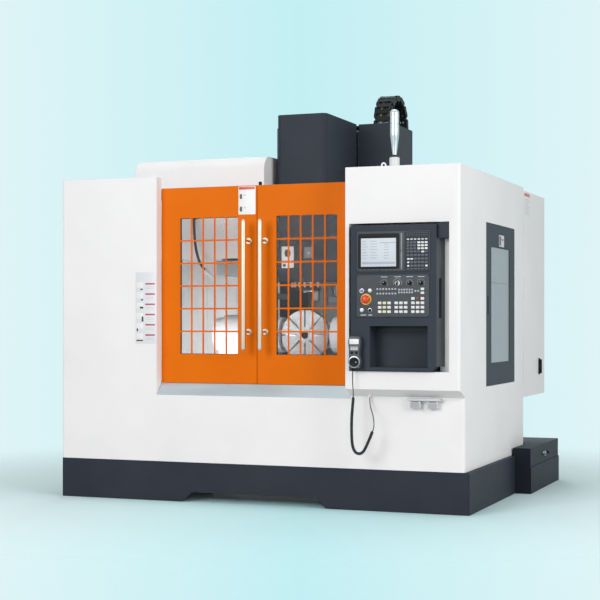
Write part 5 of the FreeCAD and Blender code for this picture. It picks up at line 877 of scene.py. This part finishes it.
# ---- fittings on the box ----------------------------------------------------------
def signal_lamp():
    """The lamp on its cup: thin neck, long taper, ringed body and domed top."""
    foot, level = (895.0, 0.0), 2000.0
    cup = [(31, 0), (31, 8), (29.5, 9.5), (29.5, 50), (28, 56), (26, 58), (12, 58)]
    neck = [(12, 57), (12, 66), (15, 67), (15, 72), (12.4, 73)]
    body = [(12, 72), (25.6, 182), (26, 183), (26, 186), (24.6, 187.5), (24.6, 190),
            (26, 191.5), (26, 248), (24.6, 249.5), (24.6, 252), (26, 253.5), (26, 318)]
    dome = [(26 * math.cos(t), 318 + 19 * math.sin(t)) for t in np.linspace(0, 1.5, 6)]
    parts = [(turned(cup, TOP, foot, level, 44), LIGHT_PLASTIC),
             (turned(neck, TOP, foot, level, 36), BLACKED),
             (turned(body, TOP, foot, level, 44), ALUMINIUM),
             (turned(dome + [(0.4, 337)], TOP, foot, level, 44), ALUMINIUM)]
    build("signal_lamp_body", "machine_frame", parts, ["signal_lamp"])


def sockets():
    """Two lidded sockets on their plate under the box."""
    z = 664.0
    parts = [(plate(978, 1183, z - 14, z, FRONT, 0.2, 39, 3, 1.5), LIGHT_PLASTIC)]
    for x in (1028.0, 1133.0):
        lid = plate(x - 32, x + 32, z - 58, z - 15, FRONT, 1.0, 32.5, 6, 4.0)
        rim = plate(x - 27, x + 27, z - 54, z - 25, FRONT, 33.0, 1.4, 5, 1.0)
        hinge = plate(x - 22, x + 22, z - 23, z - 17, FRONT, 30.0, 5.0, 2.5, 2.0)
        parts += [(lid, LIGHT_PLASTIC), (rim, PALE), (hinge, GREY_PLASTIC)]
    build("socket_lids", "machine_frame", parts, ["socket_plate"])


# ---- drag chain -------------------------------------------------------------------
CHAIN_Y, CHAIN_R, CHAIN_TOP = 1649.0, 190.0, 2680.0
CHAIN_LEFT, CHAIN_RIGHT = 290.0, 414.0
CHAIN_TALL = 39.0       # a side plate's height
SIDE_THICK = 9.0        # its thickness. Every second pair stands inside its neighbours.


def chain_pins():
    """The pins (Y, Z) from the rear foot, over the half circle, to the front foot.

    Twelve links span the half circle, so a link is the chord of a twelfth of it.
    """
    pitch = 2 * CHAIN_R * math.sin(math.pi / 24)
    spring = CHAIN_TOP - CHAIN_R - 20.0
    rear = [(CHAIN_Y + CHAIN_R, spring - (4 - k) * pitch) for k in range(4)]
    arch = [(CHAIN_Y + CHAIN_R * math.cos(math.pi * k / 12),
             spring + CHAIN_R * math.sin(math.pi * k / 12)) for k in range(13)]
    front = [(CHAIN_Y - CHAIN_R, spring - (k + 1) * pitch) for k in range(4)]
    return np.array(rear + arch + front)


def chain_link(start, end, inner):
    """One link between two pins: two waisted side plates, two cross bars and pin bosses.

    A side plate is two half ellipses, 22 mm wide and as tall as the link, joined over a
    waist 3.5 mm lower.
    """
    step, half = end - start, CHAIN_TALL / 2
    length = np.linalg.norm(step)
    along = np.array([0, step[0], step[1]]) / length
    rise = np.array([0, -step[1], step[0]]) / length
    base = np.array([0, *start])
    axes = np.array([along, rise, (1, 0, 0)], float)
    at = axes[:2] @ base
    turn = np.linspace(-math.pi / 2, math.pi / 2, 7)
    nose = np.column_stack([length + 8 + 11 * np.cos(turn), half * np.sin(turn)])
    tail = np.column_stack([-8 - 11 * np.cos(turn), -half * np.sin(turn)])
    waist = np.array([(length * 0.62, half), (length * 0.5, half - 3.5), (length * 0.38, half)])
    outline = np.concatenate([nose, waist, tail, (waist * (1, -1))[::-1]])
    inset = SIDE_THICK if inner else 0.0
    edges = [(1.0, 0), (0, 1), (0, SIDE_THICK - 1), (1.0, SIDE_THICK)]
    shapes = [slab(outline + at, edges, axes, x)
              for x in (CHAIN_LEFT + inset, CHAIN_RIGHT - inset - SIDE_THICK)]
    if not inner:
        boss = [(7, -2.0), (7, 0), (6, 1.2), (3, 1.2), (2.6, 0.2), (0.2, 0.2)]
        for x, flip in ((CHAIN_LEFT, -1), (CHAIN_RIGHT, 1)):
            facing = np.array([along, rise * flip, (flip, 0, 0)], float)
            shapes.append(turned(boss, facing, facing[:2] @ base, x * flip - 0.4, 12))
    middle = at[0] + length / 2
    for low in (at[1] - 18.5, at[1] + 15.5):
        shapes.append(plate(middle - 17, middle + 17, low, low + 3.5, axes,
                            CHAIN_LEFT + inset + 4, CHAIN_RIGHT - CHAIN_LEFT - 2 * inset - 8,
                            1.2, 0.6, 2))
    return [(shape, BLACK_PLASTIC) for shape in shapes]


def drag_chain():
    """Energy chain of links, with five hoses side by side."""
    pins = chain_pins()
    parts = []
    for index, (start, end) in enumerate(zip(pins, pins[1:])):
        parts += chain_link(start, end, index % 2)
    # the hoses' line, read in metres and turned back into the drawing's millimetres
    line = read_line(place(np.column_stack([np.zeros(len(pins)), pins])), 6) * 1000.0
    line[:, 1] += BED_MIDDLE
    for x, radius, material in ((316, 9, JACKET), (334, 7, HOSE_YELLOW), (352, 8, JACKET),
                                (371, 9, JACKET), (389, 7, HOSE_YELLOW)):
        parts.append((sweep(line + (x, 0, 0), circle(0, 0, radius, 10), (1, 0, 0)), material))
    piece = build("energy_chain", None, parts, ["drag_chain"])
    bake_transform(piece)


# ---- drives, latch and chamber fittings -------------------------------------------
def ball_screw(node, axes, centre, start, end):
    """A ball screw of 16 mm lead: the bar's radius dips 2.6 mm along a helix.

    At height h and angle a the groove's depth follows cos(2 pi h / lead - a) where that
    is positive, to the power 1.5. The ends are plain and chamfered.
    """
    lead, radius, around = 16.0, 20.0, 24
    height = np.arange(start + 8.0, end - 8.0, lead / 6)
    angle = np.arange(around) * 2 * math.pi / around
    wave = np.cos(2 * math.pi * height[:, None] / lead - angle[None, :])
    reach = radius - 2.6 * wave.clip(0, 1) ** 1.5
    foot = np.array([(17.0, start), (18.5, start + 1.5), (18.5, start + 7.0)])
    tip = np.array([(18.5, end - 7.0), (18.5, end - 1.5), (17.0, end)])
    reach = np.concatenate([foot[:, :1].repeat(around, 1), reach,
                            tip[:, :1].repeat(around, 1)])
    height = np.concatenate([foot[:, 1], height, tip[:, 1]])
    rings = np.stack([centre[0] + reach * np.cos(angle), centre[1] + reach * np.sin(angle),
                      np.repeat(height[:, None], around, 1)], -1)
    build(node + "_thread", BODY_OF[node], [(loft(rings @ axes), STEEL)],
          [node], 50)


def ball_screws():
    """The three axis screws."""
    ball_screw("x_screw", RIGHT, (970, 612), -596, 596)
    ball_screw("y_screw", BACK, (0, 450), 249, 1381)
    ball_screw("z_screw", TOP, (0, 1485), 1239, 2406)


def cabinet_latch():
    """The lever latch: stem, long plate, domed swing grip and a key cylinder."""
    y, middle = 2010.0, 792.5
    stem = [(9, 0), (9, 29), (0.3, 30)]
    back = plate(y - 16, y + 16, middle - 57.5, middle + 57.5, RIGHT, 1315.6, 7.4, 15, 2.0)
    grip = slab(rectangle(y - 9, y + 9, middle - 49.5, middle + 49.5, 8, 6),
                [(1.5, 0), (0.5, 2), (0, 5), (0, 9), (1.0, 12.5), (3.5, 15)], RIGHT, 1322.0)
    lock = [(5.5, 0), (5.5, 1.0), (4.8, 1.6), (0.3, 1.6)]
    parts = [(turned(stem, RIGHT, (y, middle), 1297.0, 24), STEEL), (back, BLACK_PLASTIC),
             (grip, BLACK_PLASTIC),
             (turned(lock, RIGHT, (y, middle + 36), 1336.6, 20), CHROME)]
    build("lever_latch", BODY_OF["cabinet_latch"], parts, ["cabinet_latch"])


def chamber_fittings():
    """The work lamp behind the door rail, the lining's beads and the nose's nozzles."""
    lamp = [(plate(-300, 300, 112, 129, UNDER, -1922.0, 24, 3, 1.0), PALE),
            (plate(-292, 292, 114, 127, UNDER, -1898.4, 2.4, 4, 1.0), WORK_LAMP)]
    build("work_lamp", "machine_frame", lamp)
    bead = plate(0, 10, 660, 1900, FRONT, -1427.2, 4.0, 4, 3.0)
    places = [(x, 0, 0) for x in (*range(-1120, -430, 76), *range(470, 1240, 76))]
    build("lining_beads", "machine_frame", [(spread(bead, places), LINING)])
    tip = [(9, 0), (9, 8), (7, 11), (7, 15), (9, 17), (9, 22), (6, 30), (3.4, 34), (3.2, 26)]
    seats = ((96, 900), (66, 872), (30, 856), (-8, 856), (-44, 872), (-84, 900))
    nozzles = [(turned(tip, UNDER, seat, -1364.0, 16), LIGHT_PLASTIC) for seat in seats]
    build("coolant_nozzles", "head", nozzles)


# ---- rear and sides ---------------------------------------------------------------
SIDE_FACE = 1315.0                      # the box's sides, from its middle
WALL_BACK, COVER_BACK, CABINET_BACK = 1530.0, 1900.0, 2200.0      # the backs' Y


def access_panel(axes, level, u0, u1, v0, v1, coat):
    """A lift-off panel: a 2 mm plate on a dark joint, held by screws round its edge."""
    joint = plate(u0 - 3, u1 + 3, v0 - 3, v1 + 3, axes, level - 0.2, 0.6, 5, 0.2)
    sheet = plate(u0, u1, v0, v1, axes, level - 0.2, 2.2, 4, 0.8)
    across = np.linspace(u0 + 18, u1 - 18, 4)
    down = np.linspace(v0 + 18, v1 - 18, 4)[1:-1]
    places = [(u, v) for u in across for v in (v0 + 18, v1 - 18)]
    places += [(u, v) for u in (u0 + 18, u1 - 18) for v in down]
    return [(joint, GASKET), (sheet, coat), screw_heads(places, axes, level + 2.0, 6.0)]


def louvres(axes, level, left, low, rows, wide, coat):
    """Pressed louvres 26 mm apart: a rounded hood over its slot, painted black as shade."""
    right = left + wide
    # painted shade: a thin black plate stands for the dark opening under each hood
    slot = plate(left + 3, right - 3, low - 4, low + 2, axes, level, 0.5, 2, 0.2, 2)
    hood = slab(rectangle(left, right, low, low + 16, 7),
                [(0, 0), (0.6, 3.0), (2.4, 5.6), (5.0, 7.0), (7.0, 7.4)], axes, level)
    shifts = [(0, 0, 26.0 * row) for row in range(rows)]
    return [(spread(slot, shifts), GASKET), (spread(hood, shifts), coat)]


def fan_guard(axes, level, u, v):
    """A fan's filter frame with its ringed guard on four spokes."""
    front = level + 6.4
    frame_plate = plate(u - 84, u + 84, v - 84, v + 84, axes, level - 0.2, 6.2, 8, 2.5)
    mesh = turned([(70, 0), (70, 0.5), (0.3, 0.5)], axes, (u, v), level + 6, 44)
    guard = [turned([(radius - 2, 0), (radius - 2, 2.4), (radius + 2, 2.4), (radius + 2, 0)],
                    axes, (u, v), front, 40) for radius in (22.0, 34.0, 46.0, 58.0, 70.0)]
    guard += [plate(u - wide, u + wide, v - tall, v + tall, axes, front, 2.0, 1, 0.5)
              for wide, tall in ((70.0, 2.2), (2.2, 70.0))]
    guard.append(turned([(13, 0), (13, 2.5), (12, 3.2), (0.3, 3.2)], axes, (u, v), front, 28))
    return [(frame_plate, BLACK_PLASTIC), (mesh, GASKET)] + [(shape, GREY_PLASTIC)
                                                             for shape in guard]


def rear_details():
    """Panels, louvres and a fan on the column cover, the rear walls and the cabinet."""
    on_panel = 1.9      # a panel's face, from the sheet under it
    cover = access_panel(BACK, COVER_BACK, -385, 375, 880, 1560, NAVY)
    cover += access_panel(BACK, COVER_BACK, -385, 375, 1620, 2380, NAVY)
    for left in (-330.0, 30.0):
        cover += louvres(BACK, COVER_BACK + on_panel, left, 2080, 8, 290, NAVY)
    build("column_rear_panels", "machine_frame", cover)
    wall = access_panel(BACK, WALL_BACK, 560, 1180, 760, 1700, WHITE)
    build("rear_wall_panel", "machine_frame", wall)
    cabinet = fan_guard(BACK, CABINET_BACK, -1100, 1790)
    cabinet += louvres(BACK, CABINET_BACK, -1240, 700, 7, 280, WHITE)
    build("cabinet_fan_and_louvres", "machine_frame", cabinet)
    side = access_panel(LEFT, SIDE_FACE, -1180, -380, 560, 1640, WHITE)
    for left in (-1120, -760):
        side += louvres(LEFT, SIDE_FACE + on_panel, left, 640, 6, 320, WHITE)
    build("left_side_access_panel", "machine_frame", side)


def tank_bail():
    """A small steel bail on the tank's side: a half ellipse of wire between two eyes."""
    middle, height, half = 1575.0, 232.0, 26.0
    turn = np.linspace(0, math.pi, 13)
    wire = np.column_stack([np.full(13, 1449.0), middle - half * np.cos(turn),
                            height - 20 * np.sin(turn)])
    eye = [(9, 0), (9, 6), (7.5, 9), (0.3, 10)]
    parts = [(sweep(wire, circle(0, 0, 3.2, 10), (1, 0, 0)), CHROME)]
    parts += [(turned(eye, RIGHT, (y, height), 1439.8, 20), CHROME)
              for y in (middle - half, middle + half)]
    build("tank_bail", "machine_frame", parts)


# ---- labels -----------------------------------------------------------------------
HEAD_FACE = -810.0      # the head cover's face, 810 mm behind the front sheet
# of a film, its print and a print on that: foot above the face, thickness, edge radius
LAYERS = ((-0.1, 0.7, 0.3), (0.5, 0.4, 0.1), (0.8, 0.3, 0.1))


def film(name, body, axes, face, fields, more=()):
    """A label on a face, of fields (u0, u1, v0, v1, corner, steps, layer, material)."""
    parts = []
    for u0, u1, v0, v1, corner, steps, layer, material in fields:
        foot, thick, edge = LAYERS[layer]
        parts.append((plate(u0, u1, v0, v1, axes, face + foot, thick, corner, edge, steps),
                      material))
    build(name, body, parts + list(more))


def labels():
    """Adhesive films as plain fields of colour."""
    fields = [(-790, -649, 968, 1412, 4, 4, 0, FILM_PALE)]
    marks = ((-756, -740, -38, -29), (-752, -738, -40, -30), (-760, -736, -26, -14),
             (-748, -735, -44, -12), (-782, -772, -40, -22), (-784, -738, -38, -30))
    for k, (left, right, low, high) in enumerate(marks):
        z = 1339 - 63.4 * k
        fields += [(-722, -656, z - 5, z + 5, 1, 2, 1, FILM_WINE),
                   (-716, -662, z - 21, z - 18, 1, 2, 1, FILM_GREY),
                   (-716, -662, z - 31, z - 28, 1, 2, 1, FILM_GREY),
                   (-784, -738, z - 26, z + 10, 4, 4, 1, FILM_WHITE),
                   (left, right, z + low, z + high, 3, 4, 2, FILM_DARK)]
    film("side_colour_film", "machine_frame", FRONT, 0.0, fields)
    fields = [(-123, -10, 1757, 1928, 3, 4, 0, FILM_WHITE),
              (-119, -14, 1909, 1925, 2, 4, 1, FILM_RED)]
    for z in (1852, 1776):
        fields += [(-114, -98, z, z + 30, 5, 3, 1, FILM_DARK),
                   (-92, -74, z + 18, z + 28, 2, 3, 1, FILM_GREY)]
    film("door_colour_film", "left_door", FRONT, DOOR_FACE, fields)
    dial = [(9, 0), (9, 3), (6, 5), (0.3, 5)]
    film("head_colour_film", "head", FRONT, HEAD_FACE,
         [(-137, -52, 1504, 1598, 3, 4, 0, FILM_WHITE),
          (-116, -74, 1530, 1578, 16, 6, 1, FILM_DARK),
          (-137, -52, 1456, 1494, 3, 4, 0, FILM_WHITE),
          (-128, -108, 1466, 1484, 2, 4, 1, FILM_DARK)],
         [(plate(23, 79, 1520, 1592, FRONT, HEAD_FACE - 0.1, 1.2, 3, 0.5), GREY_PLASTIC),
          (turned(dial, FRONT, (52, 1552), HEAD_FACE + 1.0, 20), CHROME)])
    fields = [(1546, 1718, 1804, 1969, 4, 4, 0, FILM_WHITE),
              (1550, 1714, 1945, 1966, 2, 4, 1, FILM_RED)]
    fields += [(1562, 1702 - 20 * (k % 3), 1922 - 16 * k, 1928 - 16 * k, 1, 2, 1, FILM_GREY)
               for k in range(7)]
    film("cabinet_colour_film", BODY_OF["cabinet_door"], RIGHT, SIDE_FACE, fields)
    film("side_door_colour_film", BODY_OF["side_door"], RIGHT, SIDE_FACE,
         [(826, 960, 1572, 1645, 3, 4, 0, FILM_GREY),
          (834, 880, 1580, 1637, 3, 4, 1, FILM_DARK),
          (890, 950, 1612, 1624, 2, 4, 1, FILM_RED)])


# ---- camera, light and floor ------------------------------------------------------
def seen_rays(tree):
    """1 for what the camera sees, directly, in metal or through glass, otherwise 0."""
    rays = add(tree, "LightPath")
    clear = add(tree, "Math", {0: rays.outputs["Is Camera Ray"],
                               1: rays.outputs["Is Transmission Ray"]}, operation="MAXIMUM")
    either = add(tree, "Math", {0: clear.outputs[0], 1: rays.outputs["Is Glossy Ray"]},
                 operation="MAXIMUM")
    return either.outputs[0]


ACROSS = (0.932, 0.3616, 0.0)     # the picture's right, on the floor


def sideways(tree, where, shift, reach):
    """The backdrop's hue: deeper in the middle, paler to both sides of the machine.

    The share of the paler hue is |place . ACROSS + shift| / reach, up to 1.
    """
    across = add(tree, "VectorMath", {0: where, 1: ACROSS}, operation="DOT_PRODUCT")
    moved = add(tree, "Math", {0: across.outputs["Value"], 1: shift}, operation="ADD")
    side = add(tree, "Math", {0: moved.outputs[0]}, operation="ABSOLUTE")
    share = add(tree, "MapRange", {"Value": side.outputs[0], "From Min": 0.0,
                                   "From Max": reach})
    hue = add(tree, "Mix", {0: share.outputs[0], MIX_FROM: linear("#c3eff3"),
                            MIX_TO: linear("#def4f7")}, data_type="RGBA")
    return hue.outputs[MIX_RESULT]


def photo_camera():
    """The camera at the photograph's place, as solved from the edges of the box.

    It looks level, so that uprights stay upright, and its view is shifted up instead.
    """
    camera = bpy.data.objects.new("camera", bpy.data.cameras.new("camera"))
    camera.data.lens = 87.4
    camera.data.sensor_width = 36.0
    camera.data.shift_y = 0.0333
    camera.data.clip_end = 100.0
    camera.location = (3.44, -9.151, 1.115)
    camera.rotation_euler = (math.pi / 2, 0, math.atan2(ACROSS[1], ACROSS[0]))
    bpy.context.scene.collection.objects.link(camera)
    bpy.context.scene.camera = camera


def lamp(name, spot, aim, size, power):
    """A round soft lamp of that size in m and power in W, aimed from its spot at a point."""
    data = bpy.data.lights.new(name, "AREA")
    data.shape, data.size, data.energy = "DISK", size, power
    light = bpy.data.objects.new(name, data)
    light.location = spot
    step = unit(np.subtract(aim, spot))
    light.rotation_euler = (math.acos(-step[2]), 0, math.atan2(step[1], step[0]) - math.pi / 2)
    light.visible_camera = False
    bpy.context.scene.collection.objects.link(light)


def lamps():
    """Four softboxes around the machine and two small lamps inside its chamber."""
    lamp("key_softbox", (-1.7, -7.4, 3.2), (0, 0, 1.1), 3.6, 232.0)
    lamp("fill_softbox", (5.9, -3.6, 2.8), (0, 0, 1.0), 3.8, 178.0)
    lamp("top_softbox", (0.2, 0.0, 6.5), (0, 0, 1.0), 4.5, 85.0)
    lamp("rear_softbox", (-2.0, 6.5, 4.5), (0, 0, 1.1), 4.0, 130.0)
    lamp("chamber_lamp_left", (-0.8, -0.74, 0.86), (-0.82, 0.35, 0.92), 0.5, 6.2)
    lamp("chamber_lamp_right", (0.7, -0.76, 1.1), (0.7, 0.35, 0.95), 0.6, 4.0)


def pale_world():
    """The photograph's ground where it is seen, and a weaker neutral fill as light."""
    world = bpy.data.worlds.new("studio")
    bpy.context.scene.world = world
    world.use_nodes = True
    tree = world.node_tree
    tree.nodes.clear()
    gaze = add(tree, "TexCoord").outputs["Generated"]
    hue = sideways(tree, gaze, 0.0, 0.2)
    backdrop = add(tree, "Background", {"Color": hue, "Strength": 1.0})
    fill = add(tree, "Background", {"Color": linear("#f7f7f7"), "Strength": 0.4})
    both = add(tree, "MixShader", {0: seen_rays(tree), 1: fill.outputs[0],
                                   2: backdrop.outputs[0]})
    add(tree, "OutputWorld", {"Surface": both.outputs[0]})


def card_floor():
    """A floor of pale studio card that fades into the backdrop 1.7 to 4 m out.

    Where it is seen it has the backdrop's hue. For light it is a neutral grey.
    """
    material, tree, where = new_material("studio_card")
    away = add(tree, "VectorMath", {0: where}, operation="LENGTH")
    fade = add(tree, "MapRange", {"Value": away.outputs["Value"], "From Min": 1.7,
                                  "From Max": 4.0}, interpolation_type="SMOOTHSTEP")
    tone = add(tree, "Mix", {0: seen_rays(tree), MIX_FROM: linear("#d2d2d2"),
                             MIX_TO: sideways(tree, where, 0.1, 1.65)}, data_type="RGBA")
    card = add(tree, "BsdfDiffuse", {"Color": tone.outputs[MIX_RESULT]})
    clear = add(tree, "BsdfTransparent")
    mixed = add(tree, "MixShader", {0: fade.outputs[0], 1: card.outputs[0],
                                    2: clear.outputs[0]})
    add(tree, "OutputMaterial", {"Surface": mixed.outputs[0]})
    sides = 64      # a disc of 8 m radius, 1 mm under the machine's foot
    outline = circle(0, 0, 8.0, sides)
    mesh = bpy.data.meshes.new("floor")
    mesh.from_pydata(lifted(outline, -0.001).tolist(), [], [list(range(sides))])
    mesh.materials.append(material)
    floor = bpy.data.objects.new("floor", mesh)
    bpy.context.scene.collection.objects.link(floor)


def main():
    """Builds every piece, then the camera, the light and the floor."""
    dress_nodes()
    door_handles()
    window_details()
    display_unit()
    machine_panel()
    selectors()
    switch_key()
    stop_button()
    niche_painted_shadow_and_mat()
    recess_trim()
    pendant()
    hand_wheel()
    pendant_cord()
    wash_hose()
    signal_lamp()
    sockets()
    drag_chain()
    ball_screws()
    cabinet_latch()
    chamber_fittings()
    rear_details()
    tank_bail()
    labels()
    photo_camera()
    lamps()
    pale_world()
    card_floor()


main()
bpy.context.scene.view_settings.view_transform = "Standard"
